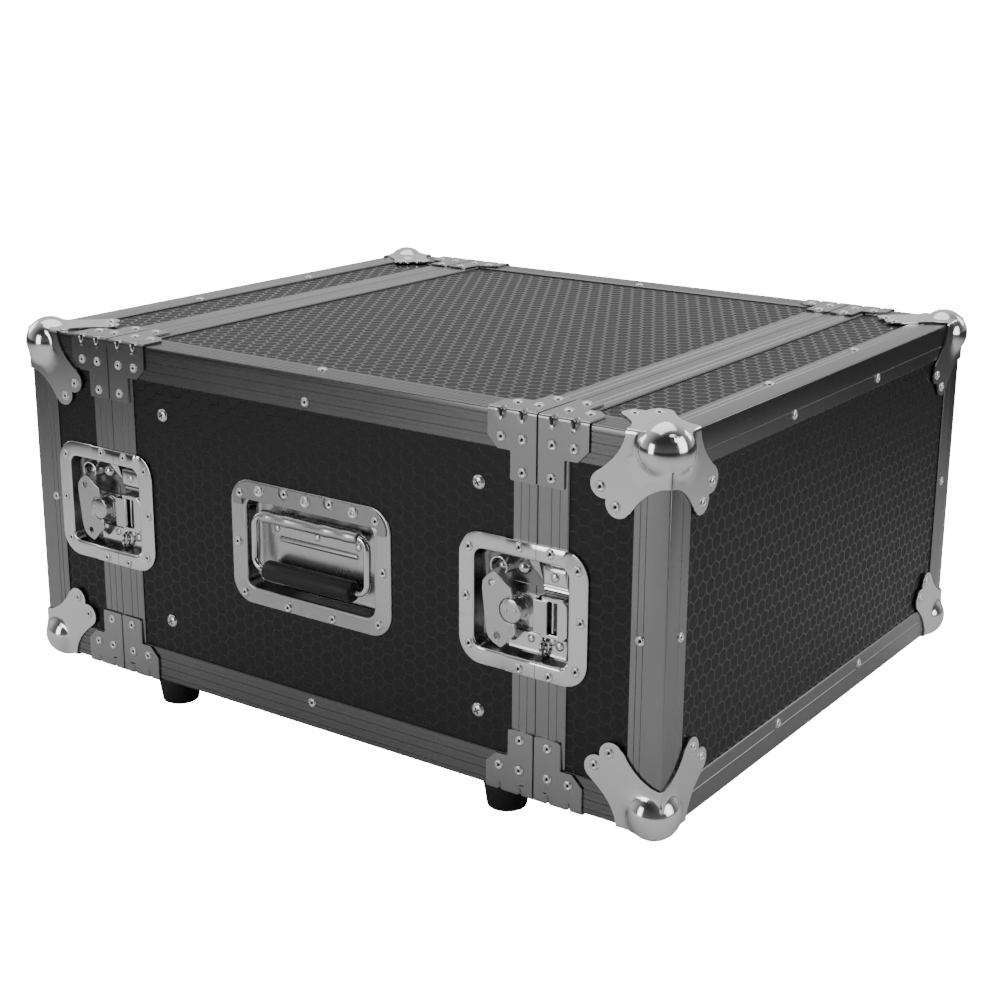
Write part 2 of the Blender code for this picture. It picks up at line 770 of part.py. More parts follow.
def wing_outline():
    """The wing in its own plane: out from the pin, and along it."""
    heel = math.sqrt(WING_NOTCH**2 - WING_HEEL**2)
    tail = (
        (WING_REACH, 0.016), (0.0228, 0.022), (0.0185, 0.0263), (0.013, 0.0294), (0.0105, 0.0285),
    )
    upper = [*tail, (-WING_HEEL, 0.0175)]
    sweep = math.degrees(math.atan2(heel, -WING_HEEL))
    notch = arc((0, 0), WING_NOTCH, sweep, -sweep, 9)
    return upper + notch + [(out, -along) for out, along in reversed(upper)]


def wing_shape(side, split):
    frame = spindle_frame(side, split)
    levels = (WING_TOP, WING_TOP + WING_WALL)
    outline = wing_outline()
    loops = [[frame @ Vector((out, up, level)) for out, up in outline] for level in levels]
    plate = loft(loops)
    pin = pin_frame(side, split)
    knuckles, bores, holes = [], [], []
    start = WING_NOTCH + FIT
    for way in (1, -1):
        ends = sorted((way * start, way * (start + KNUCKLE_LENGTH + 2 * FIT)))
        knuckles.append(turned(rod(KNUCKLE_RADIUS, *ends), pin, 10))
        ends = sorted((way * start * 0.8, way * (PIN_REACH + FIT)))
        bores.append(turned(rod(KNUCKLE_BORE, *ends), pin, 10))
        spot = frame @ Matrix.Translation((WING_HOLE_OUT, way * WING_HOLE_UP, 0))
        holes.append(turned(rod(WING_HOLE_RADIUS, -WING_WALL, 3 * WING_WALL), spot, 10))
    return cut(fuse(plate, *knuckles), *bores, *holes)


def hook_shape(side, split):
    """A plate round the knob's neck that steps up and reaches over the strike."""
    knob = split + KNOB_SETBACK
    low = DISH_DEPTH - 2 * FIT
    top = low - HOOK_WALL
    bend = split + HOOK_RISER
    tip = split - HOOK_TONGUE
    outline = [
        (knob + HOOK_TAIL, top), (bend, top), (bend, TONGUE_TOP), (tip, TONGUE_TOP),
        (tip, TONGUE_TOP + HOOK_WALL), (bend - HOOK_WALL, TONGUE_TOP + HOOK_WALL),
        (bend - HOOK_WALL, low), (knob + HOOK_TAIL, low),
    ]
    points = [(across(side, depth), y) for y, depth in outline]
    half = HOOK_WIDTH / 2
    plate = prism(points, "z", KNOB_HEIGHT - half, KNOB_HEIGHT + half)
    spare = NECK_RADIUS + 2 * FIT
    slot = rounded_outline(
        (knob - spare, KNOB_HEIGHT - spare), (knob + spare + HOOK_TRAVEL, KNOB_HEIGHT + spare),
        spare * 0.95,
    )
    return cut(plate, side_prism(side, slot, (top - 0.001, low + 0.001)))


def strike_shape(side, split):
    """The keeper's raised box, with the slot that a hook drops into."""
    near, far = split - STRIKE_NEAR, split - STRIKE_FAR
    half, chamfer = STRIKE_HEIGHT / 2, STRIKE_CHAMFER
    flat = [
        (near, -half), (near, half), (far + chamfer, half),
        (far, half - chamfer), (far, chamfer - half), (far + chamfer, -half),
    ]
    outline = [(y, KNOB_HEIGHT + z) for y, z in flat]
    block = side_prism(side, outline, (STRIKE_TOP, DISH_DEPTH + DISH_WALL / 2))
    slot = slab(
        side, (STRIKE_TOP - 0.001, STRIKE_TOP + SLOT_DEPTH),
        (split - SLOT_FAR, split - SLOT_NEAR),
        (KNOB_HEIGHT - SLOT_HEIGHT / 2, KNOB_HEIGHT + SLOT_HEIGHT / 2),
    )
    return cut(block, slot)


def build_latch(place, name, split, materials):
    side = SIDES[name]
    label = f"{place}_{name}_latch"
    plate, steel = materials["nickel_plate"], materials["zinc_plate"]
    knob_half, keeper_half = latch_dish_halves(side, split)
    add_part(f"{label}_dish", knob_half, plate)
    add_part(f"{label}_keeper", fuse(keeper_half, strike_shape(side, split)), plate)
    axis = spindle_frame(side, split).translation
    add_part(f"{label}_spindle", spindle_shape(side, split), steel, axis)
    pin = pin_frame(side, split).translation
    add_part(f"{label}_wing", wing_shape(side, split), plate, pin)
    add_part(f"{label}_hook", hook_shape(side, split), steel, axis, smooth=False)


# ---- Handles ----


def handle_dish_shape(side):
    middle = MIDDLE - HANDLE_DROP
    window_middle = MIDDLE - HANDLE_WINDOW_DROP
    flange = (
        BODY_MIDDLE - HANDLE_LENGTH / 2, BODY_MIDDLE + HANDLE_LENGTH / 2,
        middle - HANDLE_HEIGHT / 2, middle + HANDLE_HEIGHT / 2,
    )
    window = (
        BODY_MIDDLE - HANDLE_WINDOW_LENGTH / 2, BODY_MIDDLE + HANDLE_WINDOW_LENGTH / 2,
        window_middle - HANDLE_WINDOW_HEIGHT / 2, window_middle + HANDLE_WINDOW_HEIGHT / 2,
    )
    under = PANEL_INSET - FIT
    return dish(side, flange, window, (under - HANDLE_FLANGE, under))


def bail_shape(side):
    """A closed wire loop, its top bar on the pivot and its bottom bar in the grip."""
    half = BAIL_SPAN / 2
    outline = rounded_outline((-half, -BAIL_DROP), (half, 0), BAIL_CORNER, 4)
    lean = (BAIL_BOTTOM_DEPTH - BAIL_TOP_DEPTH) / BAIL_DROP
    path = [
        (across(side, BAIL_TOP_DEPTH - lean * fall), BODY_MIDDLE + y, PIVOT_HEIGHT + fall)
        for y, fall in outline
    ]
    normal = Vector((side, 0, 0)) - Vector((0, 0, lean))
    return tube(path, BAIL_WIRE, normal.normalized())


def sleeve(side, depth, height, radii, length, steps):
    """A tube lying along Y."""
    frame = Matrix.Rotation(math.radians(-90), 4, "X")
    frame.translation = (across(side, depth), BODY_MIDDLE, height)
    inner, outer = radii
    half = length / 2
    section = [(inner, -half), (outer, -half), (outer, half), (inner, half)]
    return turned(section, frame, steps)


def hinge_strap_shape(side):
    """A strip riveted to the dish floor and rolled round the bail's top bar."""
    inner, outer = ROLL_BORE, ROLL_BORE + ROLL_WALL
    centre = (BAIL_TOP_DEPTH, PIVOT_HEIGHT)
    back = DISH_DEPTH - FIT
    front = back - STRAP_WALL
    foot = PIVOT_HEIGHT - STRAP_REACH
    outline = arc(centre, outer, -50, 240, 12)
    outline += arc(centre, inner, 240, -35, 11)
    outline += [(front, PIVOT_HEIGHT - 0.0075), (front, foot), (back, foot), (back, PIVOT_HEIGHT - 0.0065)]
    spots = [(across(side, depth), z) for depth, z in outline]
    half = ROLL_LENGTH / 2
    return prism(spots, "y", BODY_MIDDLE - half, BODY_MIDDLE + half)


def build_handle(name, materials):
    side = SIDES[name]
    plate = materials["nickel_plate"]
    add_part(f"{name}_handle_dish", handle_dish_shape(side), plate)
    add_part(f"{name}_handle_hinge_strap", hinge_strap_shape(side), materials["zinc_plate"])
    pivot = (across(side, BAIL_TOP_DEPTH), BODY_MIDDLE, PIVOT_HEIGHT)
    add_part(f"{name}_handle_bail", bail_shape(side), plate, pivot)
    radii = (GRIP_BORE, GRIP_RADIUS)
    grip = sleeve(side, BAIL_BOTTOM_DEPTH, PIVOT_HEIGHT - BAIL_DROP, radii, GRIP_LENGTH, 18)
    add_part(f"{name}_handle_grip", grip, materials["black_rubber"], pivot)


def main():
    clear_scene()
    materials = {name: make_material(name) for name in FINISHES}
    build_body_panels(materials)
    build_body_edges(materials)
    build_body_mouths(materials)
    build_feet(materials)
    build_rails(materials)
    build_lid("front", FRONT_FACE, 1, FRONT_SPLIT, WIDE_LEG, materials)
    build_lid("rear", REAR_FACE, -1, REAR_SPLIT, NARROW_LEG, materials)
    for name in SIDES:
        build_handle(name, materials)
        build_latch("front", name, FRONT_SPLIT, materials)
        build_latch("rear", name, REAR_SPLIT, materials)


main()
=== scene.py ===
import json
import math

import bmesh
import bpy
from mathutils import Matrix, Vector

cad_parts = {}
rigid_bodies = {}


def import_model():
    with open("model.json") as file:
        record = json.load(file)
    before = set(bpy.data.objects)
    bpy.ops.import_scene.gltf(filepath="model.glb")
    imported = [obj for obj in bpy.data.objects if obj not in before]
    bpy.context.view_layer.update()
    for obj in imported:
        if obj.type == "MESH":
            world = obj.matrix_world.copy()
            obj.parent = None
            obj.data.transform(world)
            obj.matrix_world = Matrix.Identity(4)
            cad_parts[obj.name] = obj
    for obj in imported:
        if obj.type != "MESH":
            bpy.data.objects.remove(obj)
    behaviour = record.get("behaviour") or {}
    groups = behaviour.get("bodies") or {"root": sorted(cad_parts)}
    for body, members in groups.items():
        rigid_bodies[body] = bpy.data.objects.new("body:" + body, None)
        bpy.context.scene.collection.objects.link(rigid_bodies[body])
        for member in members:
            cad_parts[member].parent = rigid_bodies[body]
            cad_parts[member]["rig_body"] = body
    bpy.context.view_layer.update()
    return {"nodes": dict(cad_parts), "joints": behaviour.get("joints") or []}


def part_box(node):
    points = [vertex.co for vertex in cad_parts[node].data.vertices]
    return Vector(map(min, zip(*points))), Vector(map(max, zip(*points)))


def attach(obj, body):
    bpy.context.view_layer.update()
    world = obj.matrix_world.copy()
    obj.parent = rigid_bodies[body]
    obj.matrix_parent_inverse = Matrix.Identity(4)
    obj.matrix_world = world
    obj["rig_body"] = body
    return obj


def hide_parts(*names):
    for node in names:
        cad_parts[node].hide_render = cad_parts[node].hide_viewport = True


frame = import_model()

mm = 0.001
sides = {"left": -1, "right": 1}
levels = {"top": 1, "bottom": -1}

# Sizes of the case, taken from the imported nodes.
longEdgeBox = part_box("body_top_right_edge")
halfWidth = longEdgeBox[1].x
caseTop = longEdgeBox[1].z
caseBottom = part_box("body_bottom_right_edge")[0].z
caseMiddle = (caseTop + caseBottom) / 2
halfHeight = (caseTop - caseBottom) / 2
edgeLeg = caseTop - longEdgeBox[0].z
lidGap = 0.25 * mm
faces = {
    "front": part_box("front_lid_edge_frame")[0].y,
    "rear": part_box("rear_lid_edge_frame")[1].y,
}
splits = {
    "front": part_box("body_front_mouth_frame")[0].y - lidGap,
    "rear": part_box("body_rear_mouth_frame")[1].y + lidGap,
}
inwards = {"front": 1, "rear": -1}
bodyMiddle = (splits["front"] + splits["rear"]) / 2
mouthLegs = {  # leg of each mouth profile: (lid, body)
    "front": (26.5 * mm, 21.5 * mm),
    "rear": (21.5 * mm, 26.5 * mm),
}
jointAt = {j["name"]: Vector(j["pos_m"]) for j in frame["joints"] if j.get("pos_m")}


def bodyOf(node):
    return frame["nodes"][node]["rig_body"]


def sidePoint(side, depth, y, z):
    return Vector((side * (halfWidth - depth), y, z))


# Shapes are skinned from loops of points.
def skin(loops, ring=False, closed=True, caps=True):
    shape = bmesh.new()
    rows = [[shape.verts.new(spot) for spot in loop] for loop in loops]
    pairs = list(zip(rows, rows[1:]))
    if ring:
        pairs.append((rows[-1], rows[0]))
    for level, (first, second) in enumerate(pairs):
        count = len(first)
        for i in range(count if closed else count - 1):
            j = (i + 1) % count
            face = shape.faces.new((first[i], first[j], second[j], second[i]))
            face.material_index = level % 2 if ring else 0
    if caps and closed and not ring:
        shape.faces.new(rows[0])
        shape.faces.new(rows[-1])
    return shape


def meshFrom(shape):
    mesh = bpy.data.meshes.new("piece")
    shape.to_mesh(mesh)
    shape.free()
    return mesh


def closedMesh(shape):
    bmesh.ops.recalc_face_normals(shape, faces=shape.faces)
    return meshFrom(shape)


def sheetMesh(shape, outward):
    # outward gives the way out at a face's centre
    bmesh.ops.recalc_face_normals(shape, faces=shape.faces)
    total = 0
    for face in shape.faces:
        total += face.calc_area() * face.normal.dot(outward(face.calc_center_median()))
    if total < 0:
        bmesh.ops.reverse_faces(shape, faces=shape.faces)
    return meshFrom(shape)


def baked(obj):
    graph = bpy.context.evaluated_depsgraph_get()
    mesh = bpy.data.meshes.new_from_object(obj.evaluated_get(graph), depsgraph=graph)
    obj.modifiers.clear()
    old = obj.data
    obj.data = mesh
    bpy.data.meshes.remove(old)
    return mesh


def newObject(name, mesh):
    obj = bpy.data.objects.new(name, mesh)
    bpy.context.scene.collection.objects.link(obj)
    return obj


def cutMesh(mesh, cutters):
    base = newObject("base", mesh)
    helpers = [newObject("cutter", closedMesh(cutter)) for cutter in cutters]
    for helper in helpers:
        boolean = base.modifiers.new("cut", "BOOLEAN")
        boolean.operation = "DIFFERENCE"
        boolean.solver = "EXACT"
        boolean.object = helper
    result = baked(base)
    for item in (base, *helpers):
        bpy.data.objects.remove(item, do_unlink=True)
    return result


def reshaped(mesh, kind, **settings):
    shape = newObject("shape", mesh)
    modifier = shape.modifiers.new("shape", kind)
    for key, value in settings.items():
        setattr(modifier, key, value)
    result = baked(shape)
    bpy.data.objects.remove(shape, do_unlink=True)
    return result


def creased(mesh, angle):
    mesh.shade_smooth()
    mesh.set_sharp_from_angle(angle=math.radians(angle))
    return mesh


def thickened(mesh, thickness):
    walled = reshaped(mesh, "SOLIDIFY", thickness=thickness, offset=-1, use_even_offset=False)
    return creased(walled, 45)


def softened(mesh, width, segments=2, angle=50):
    rounded = reshaped(mesh, "BEVEL", width=width, segments=segments, limit_method="ANGLE",
                       angle_limit=math.radians(angle))
    return creased(rounded, 20)


def merged(parts):
    # parts holds meshes, or (mesh, finish number) pairs
    whole = bmesh.new()
    for part in parts:
        mesh, index = part if isinstance(part, tuple) else (part, None)
        if index is not None:
            mesh.polygons.foreach_set("material_index", [index] * len(mesh.polygons))
        whole.from_mesh(mesh)
        bpy.data.meshes.remove(mesh)
    return meshFrom(whole)


def addPiece(name, mesh, finishes, body, nodes=(), angle=None):
    obj = newObject(name, mesh)
    if not isinstance(finishes, (list, tuple)):
        finishes = [finishes]
    numbers = [polygon.material_index for polygon in mesh.polygons]
    mesh.materials.clear()  # this also sets every face's number back to 0
    for finish in finishes:
        mesh.materials.append(finish)
    mesh.polygons.foreach_set("material_index", [min(n, len(finishes) - 1) for n in numbers])
    mesh.name = name
    if angle:
        creased(mesh, angle)
    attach(obj, body)
    if nodes:
        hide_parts(*nodes)
    return obj


def block(low, high):
    flat = [(low[0], low[1]), (high[0], low[1]), (high[0], high[1]), (low[0], high[1])]
    return skin([[(x, y, z) for x, y in flat] for z in (low[2], high[2])])


def sideBlock(side, depths, ys, zs):
    xs = sorted(side * (halfWidth - depth) for depth in depths)
    return block((xs[0], min(ys), min(zs)), (xs[1], max(ys), max(zs)))


def roundedRect(yLow, yHigh, zLow, zHigh, radius, steps=8):
    corners = (
        (yHigh - radius, zHigh - radius, 0), (yLow + radius, zHigh - radius, 90),
        (yLow + radius, zLow + radius, 180), (yHigh - radius, zLow + radius, 270),
    )
    spots = []
    for y, z, start in corners:
        for i in range(steps + 1):
            turn = math.radians(start + 90 * i / steps)
            spots.append((y + radius * math.cos(turn), z + radius * math.sin(turn)))
    return spots


def aimed(place, aim):
    return (Vector(aim) - Vector(place)).to_track_quat("-Z", "Y")


cameraLook = {  # place and aim in metres, roll in degrees, lens in mm
    "place": (-1.2577, -0.8719, 0.6198), "aim": (0.0041, 0.0070, 0.1779), "roll": 0.401,
    "lens": 62.79, "shift": (-0.00085, -0.0235),
}
cameraData = bpy.data.cameras.new("camera")
cameraData.lens = cameraLook["lens"]
cameraData.sensor_width = 36
cameraData.shift_x, cameraData.shift_y = cameraLook["shift"]
cameraData.clip_start = 0.05
camera = bpy.data.objects.new("camera", cameraData)
cameraTurn = aimed(cameraLook["place"], cameraLook["aim"]).to_matrix()
cameraTurn = cameraTurn @ Matrix.Rotation(math.radians(cameraLook["roll"]), 3, "Z")
camera.matrix_world = Matrix.Translation(cameraLook["place"]) @ cameraTurn.to_4x4()
bpy.context.scene.collection.objects.link(camera)
bpy.context.scene.camera = camera

lampLook = {  # place, aim, width, height, power in watts
    "overhead": ((0.20, 0.35, 2.35), (0, 0, 0.2), 2.3, 2.1, 20),
    "leftWindow": ((-1.95, 0.62, 0.50), (-0.2, -0.1, 0.2), 0.62, 1.15, 8),
    "frontWindow": ((0.10, -2.30, 1.05), (0, -0.3, 0.2), 1.35, 1.9, 23),
    "rightFill": ((2.1, -1.3, 1.3), (0, 0, 0.2), 0.8, 1.0, 6),
    "rearFill": ((-0.3, 2.3, 1.1), (0, 0.3, 0.2), 1.0, 1.0, 6),
}
for lampName, (place, aim, width, height, power) in lampLook.items():
    lampData = bpy.data.lights.new(lampName, "AREA")
    lampData.shape = "RECTANGLE"
    lampData.size, lampData.size_y = width, height
    lampData.energy = power
    lamp = bpy.data.objects.new(lampName, lampData)
    lamp.location = place
    lamp.rotation_euler = aimed(place, aim).to_euler()
    lamp.visible_camera = False
    bpy.context.scene.collection.objects.link(lamp)


def addNode(tree, kind, inputs=None, **settings):
    # an input may be a value or another node's socket
    node = tree.nodes.new(kind)
    for key, value in settings.items():
        setattr(node, key, value)
    for key, value in (inputs or {}).items():
        if isinstance(value, bpy.types.NodeSocket):
            tree.links.new(value, node.inputs[key])
        else:
            node.inputs[key].default_value = value
    return node


def maths(tree, operation, *values, clamp=False):
    node = addNode(tree, "ShaderNodeMath", dict(enumerate(values)), operation=operation)
    node.use_clamp = clamp
    return node.outputs[0]


roomLook = {"backdrop": 20.0, "glow": 0.62, "glowWay": (0.70, 0.68, 0.20), "low": 0.10, "high": 0.03}


def makeWorld():
    look = roomLook
    world = bpy.data.worlds.new("studio")
    bpy.context.scene.world = world
    world.use_nodes = True
    tree = world.node_tree
    tree.nodes.clear()
    seen = addNode(tree, "ShaderNodeBackground", {"Color": (1, 1, 1, 1), "Strength": look["backdrop"]})
    way = addNode(tree, "ShaderNodeTexCoord").outputs["Generated"]
    height = addNode(tree, "ShaderNodeSeparateXYZ", {0: way}).outputs["Z"]
    shade = addNode(tree, "ShaderNodeMapRange", {
        "Value": height, "From Min": 0.0, "From Max": 0.6, "To Min": look["low"], "To Max": look["high"],
    })
    facing = addNode(tree, "ShaderNodeVectorMath", {0: way, 1: look["glowWay"]}, operation="DOT_PRODUCT")
    glow = addNode(tree, "ShaderNodeMapRange", {
        "Value": facing.outputs["Value"], "From Min": -0.3, "From Max": 0.95, "To Min": 0.0, "To Max": look["glow"],
    }, interpolation_type="SMOOTHSTEP")
    strength = maths(tree, "ADD", shade.outputs["Result"], glow.outputs["Result"])
    room = addNode(tree, "ShaderNodeBackground", {"Color": (1, 1, 1, 1), "Strength": strength})
    sight = addNode(tree, "ShaderNodeLightPath").outputs["Is Camera Ray"]
    mixed = addNode(tree, "ShaderNodeMixShader", {0: sight, 1: room.outputs[0], 2: seen.outputs[0]})
    addNode(tree, "ShaderNodeOutputWorld", {"Surface": mixed.outputs[0]})


makeWorld()
print("camera and light ready")


def newGroup(name, inputs, outputs):
    group = bpy.data.node_groups.new(name, "ShaderNodeTree")
    for socketName, kind, value in inputs:
        socket = group.interface.new_socket(socketName, in_out="INPUT", socket_type=kind)
        if value is not None:
            socket.default_value = value
    for socketName, kind in outputs:
        group.interface.new_socket(socketName, in_out="OUTPUT", socket_type=kind)
    return group, group.nodes.new("NodeGroupInput"), group.nodes.new("NodeGroupOutput")


def mixValue(tree, factor, first, second):
    return addNode(tree, "ShaderNodeMix", {0: factor, 2: first, 3: second}, data_type="FLOAT").outputs[0]


def mixColour(tree, factor, first, second):
    return addNode(tree, "ShaderNodeMix", {0: factor, 6: first, 7: second}, data_type="RGBA").outputs[2]


def makeHexGroup():
    # Hexagons across each face of the case, their rows turned as the sheet is laid.
    group, given, result = newGroup(
        "hexagonSheet",
        [("Position", "NodeSocketVector", None), ("Facing", "NodeSocketVector", None),
         ("Cell", "NodeSocketFloat", 0.0121), ("Line", "NodeSocketFloat", 0.0012),
         ("Hatch", "NodeSocketFloat", 0.0014)],
        [("Line", "NodeSocketFloat"), ("Hatch", "NodeSocketFloat")],
    )
    spot = addNode(group, "ShaderNodeSeparateXYZ", {0: given.outputs["Position"]}).outputs
    way = addNode(group, "ShaderNodeSeparateXYZ", {0: given.outputs["Facing"]}).outputs
    onSide = maths(group, "GREATER_THAN", maths(group, "ABSOLUTE", way["X"]), 0.6)
    onFace = maths(group, "GREATER_THAN", maths(group, "ABSOLUTE", way["Y"]), 0.6)
    across = mixValue(group, onFace, spot["Y"], spot["X"])
    across = mixValue(group, onSide, across, spot["Z"])
    along = mixValue(group, onFace, spot["X"], spot["Z"])
    along = mixValue(group, onSide, along, spot["Y"])
    u = maths(group, "DIVIDE", across, given.outputs["Cell"])
    v = maths(group, "DIVIDE", along, given.outputs["Cell"])
    root = math.sqrt(3)

    def cellOffset(shiftU, shiftV):
        cu = maths(group, "FLOORED_MODULO", maths(group, "SUBTRACT", u, shiftU), 1.0)
        cv = maths(group, "FLOORED_MODULO", maths(group, "SUBTRACT", v, shiftV), root)
        cu = maths(group, "ABSOLUTE", maths(group, "SUBTRACT", cu, 0.5))
        cv = maths(group, "ABSOLUTE", maths(group, "SUBTRACT", cv, root / 2))
        return cu, cv

    def reach(cu, cv):
        slant = maths(group, "MULTIPLY_ADD", cv, root / 2, maths(group, "MULTIPLY", cu, 0.5))
        return maths(group, "MAXIMUM", cu, slant)
    inner = maths(group, "MINIMUM", reach(*cellOffset(0.0, 0.0)), reach(*cellOffset(0.5, root / 2)))
    toLine = maths(group, "MULTIPLY", maths(group, "SUBTRACT", 0.5, inner), given.outputs["Cell"])
    half = maths(group, "MULTIPLY", given.outputs["Line"], 0.5)
    edge = addNode(group, "ShaderNodeMapRange", {
        "Value": toLine, "From Min": maths(group, "MULTIPLY", half, 0.6),
        "From Max": maths(group, "MULTIPLY", half, 1.5), "To Min": 1.0, "To Max": 0.0,
    }, interpolation_type="SMOOTHSTEP")
    turn = maths(group, "DIVIDE", maths(group, "ADD", across, along), given.outputs["Hatch"])
    other = maths(group, "DIVIDE", maths(group, "SUBTRACT", across, along), given.outputs["Hatch"])
    waves = maths(group, "MULTIPLY", maths(group, "SINE", maths(group, "MULTIPLY", turn, math.tau)),
                  maths(group, "SINE", maths(group, "MULTIPLY", other, math.tau)))
    group.links.new(edge.outputs["Result"], result.inputs["Line"])
    group.links.new(waves, result.inputs["Hatch"])
    return group


def makeBrushGroup():
    # Fine lines drawn out along one axis, and soft patches of tone.
    group, given, result = newGroup(
        "drawnLines",
        [("Position", "NodeSocketVector", None), ("Stretch", "NodeSocketVector", (1, 1, 1)),
         ("Patch Scale", "NodeSocketFloat", 9.0)],
        [("Lines", "NodeSocketFloat"), ("Patches", "NodeSocketFloat")],
    )
    stretched = addNode(group, "ShaderNodeMapping", {
        "Vector": given.outputs["Position"], "Scale": given.outputs["Stretch"],
    })
    lines = addNode(group, "ShaderNodeTexNoise", {
        "Vector": stretched.outputs[0], "Scale": 1.0, "Detail": 3.0, "Roughness": 0.6,
    })
    patches = addNode(group, "ShaderNodeTexNoise", {
        "Vector": given.outputs["Position"], "Scale": given.outputs["Patch Scale"], "Detail": 4.0,
    })
    group.links.new(lines.outputs[0], result.inputs["Lines"])
    group.links.new(patches.outputs[0], result.inputs["Patches"])
    return group


def makeWearGroup():
    # Scuffs and small scratches from handling.
    group, given, result = newGroup(
        "handlingWear",
        [("Position", "NodeSocketVector", None), ("Scale", "NodeSocketFloat", 40.0),
         ("Amount", "NodeSocketFloat", 0.5)],
        [("Scuffs", "NodeSocketFloat"), ("Grain", "NodeSocketFloat")],
    )
    warped = addNode(group, "ShaderNodeTexNoise", {
        "Vector": given.outputs["Position"], "Scale": given.outputs["Scale"], "Detail": 6.0,
        "Roughness": 0.7, "Distortion": 1.2,
    })
    scuffs = addNode(group, "ShaderNodeMapRange", {
        "Value": warped.outputs[0], "From Min": 0.58, "From Max": 0.78, "To Min": 0.0,
        "To Max": given.outputs["Amount"],
    })
    grain = addNode(group, "ShaderNodeTexNoise", {
        "Vector": given.outputs["Position"], "Scale": 1400.0, "Detail": 2.0,
    })
    group.links.new(scuffs.outputs["Result"], result.inputs["Scuffs"])
    group.links.new(grain.outputs[0], result.inputs["Grain"])
    return group


hexGroup, brushGroup, wearGroup = makeHexGroup(), makeBrushGroup(), makeWearGroup()


def placeGroup(tree, group, values):
    return addNode(tree, "ShaderNodeGroup", values, node_tree=group).outputs


def newFinish(name, metallic=0.0):
    material = bpy.data.materials.new(name)
    material.use_nodes = True
    tree = material.node_tree
    shader = tree.nodes["Principled BSDF"]
    shader.inputs["Metallic"].default_value = metallic
    position = addNode(tree, "ShaderNodeTexCoord").outputs["Object"]
    return material, tree, shader, position


def bump(tree, shader, height, strength, distance):
    node = addNode(tree, "ShaderNodeBump", {
        "Height": height, "Strength": strength, "Distance": distance,
    })
    tree.links.new(node.outputs[0], shader.inputs["Normal"])


laminateLook = {
    "cell": 12.1 * mm, "line": 1.35 * mm, "cellColour": (0.0105, 0.0105, 0.0107, 1),
    "lineColour": (0.004, 0.004, 0.004, 1), "cellRoughness": 0.5, "lineRoughness": 0.13,
}


def makeLaminate():
    look = laminateLook
    material, tree, shader, position = newFinish("hexagonLaminate")
    facing = addNode(tree, "ShaderNodeNewGeometry").outputs["True Normal"]
    pattern = placeGroup(tree, hexGroup, {
        "Position": position, "Facing": facing, "Cell": look["cell"], "Line": look["line"],
    })
    wear = placeGroup(tree, wearGroup, {"Position": position, "Scale": 18.0, "Amount": 0.35})
    colour = mixColour(tree, pattern["Line"], look["cellColour"], look["lineColour"])
    colour = mixColour(tree, maths(tree, "MULTIPLY", wear["Scuffs"], 0.25), colour, (0.05, 0.05, 0.05, 1))
    tree.links.new(colour, shader.inputs["Base Color"])
    hatch = maths(tree, "MULTIPLY", pattern["Hatch"], 0.05)
    rough = maths(tree, "ADD", look["cellRoughness"], hatch)
    rough = mixValue(tree, pattern["Line"], rough, look["lineRoughness"])
    tree.links.new(rough, shader.inputs["Roughness"])
    tree.links.new(maths(tree, "MULTIPLY", pattern["Line"], 0.35), shader.inputs["Coat Weight"])
    shader.inputs["Coat Roughness"].default_value = 0.08
    shader.inputs["Specular IOR Level"].default_value = 0.4
    fine = maths(tree, "ADD", maths(tree, "MULTIPLY", pattern["Hatch"], 0.25),
                 maths(tree, "MULTIPLY", wear["Grain"], 0.35))
    relief = mixValue(tree, pattern["Line"], fine, -0.8)
    bump(tree, shader, relief, 0.35, 0.15 * mm)
    return material


aluminiumLook = {"colour": (0.36, 0.36, 0.362, 1), "shade": (0.28, 0.28, 0.282, 1), "roughness": 0.24}


def makeAluminium(name, stretch, tone):
    look = aluminiumLook
    # tone lowers both colours, painted shade on the copies that catch less light
    light, shade = (tuple(c * tone for c in look[key][:3]) + (1,) for key in ("colour", "shade"))
    material, tree, shader, position = newFinish(name, 1.0)
    drawn = placeGroup(tree, brushGroup, {"Position": position, "Stretch": stretch})
    wear = placeGroup(tree, wearGroup, {"Position": position, "Scale": 30.0, "Amount": 0.6})
    colour = mixColour(tree, drawn["Patches"], light, shade)
    tree.links.new(colour, shader.inputs["Base Color"])
    rough = maths(tree, "MULTIPLY_ADD", drawn["Lines"], 0.10, look["roughness"] - 0.05)
    rough = maths(tree, "MULTIPLY_ADD", wear["Scuffs"], 0.1, rough)
    tree.links.new(rough, shader.inputs["Roughness"])
    bump(tree, shader, drawn["Lines"], 0.22, 0.04 * mm)
    return material


def makePlate(name, colour, roughness, spread, ripple):
    material, tree, shader, position = newFinish(name, 1.0)
    wear = placeGroup(tree, wearGroup, {"Position": position, "Scale": 55.0, "Amount": 0.8})
    drawn = placeGroup(tree, brushGroup, {
        "Position": position, "Stretch": (160, 160, 160), "Patch Scale": 26.0,
    })
    tone = mixColour(tree, wear["Scuffs"], colour, tuple(c * 0.86 for c in colour[:3]) + (1,))
    tree.links.new(tone, shader.inputs["Base Color"])
    rough = maths(tree, "MULTIPLY_ADD", drawn["Patches"], spread, roughness)
    rough = maths(tree, "MULTIPLY_ADD", wear["Scuffs"], 0.06, rough)
    tree.links.new(rough, shader.inputs["Roughness"])
    bump(tree, shader, drawn["Patches"], ripple, 0.6 * mm)
    return material


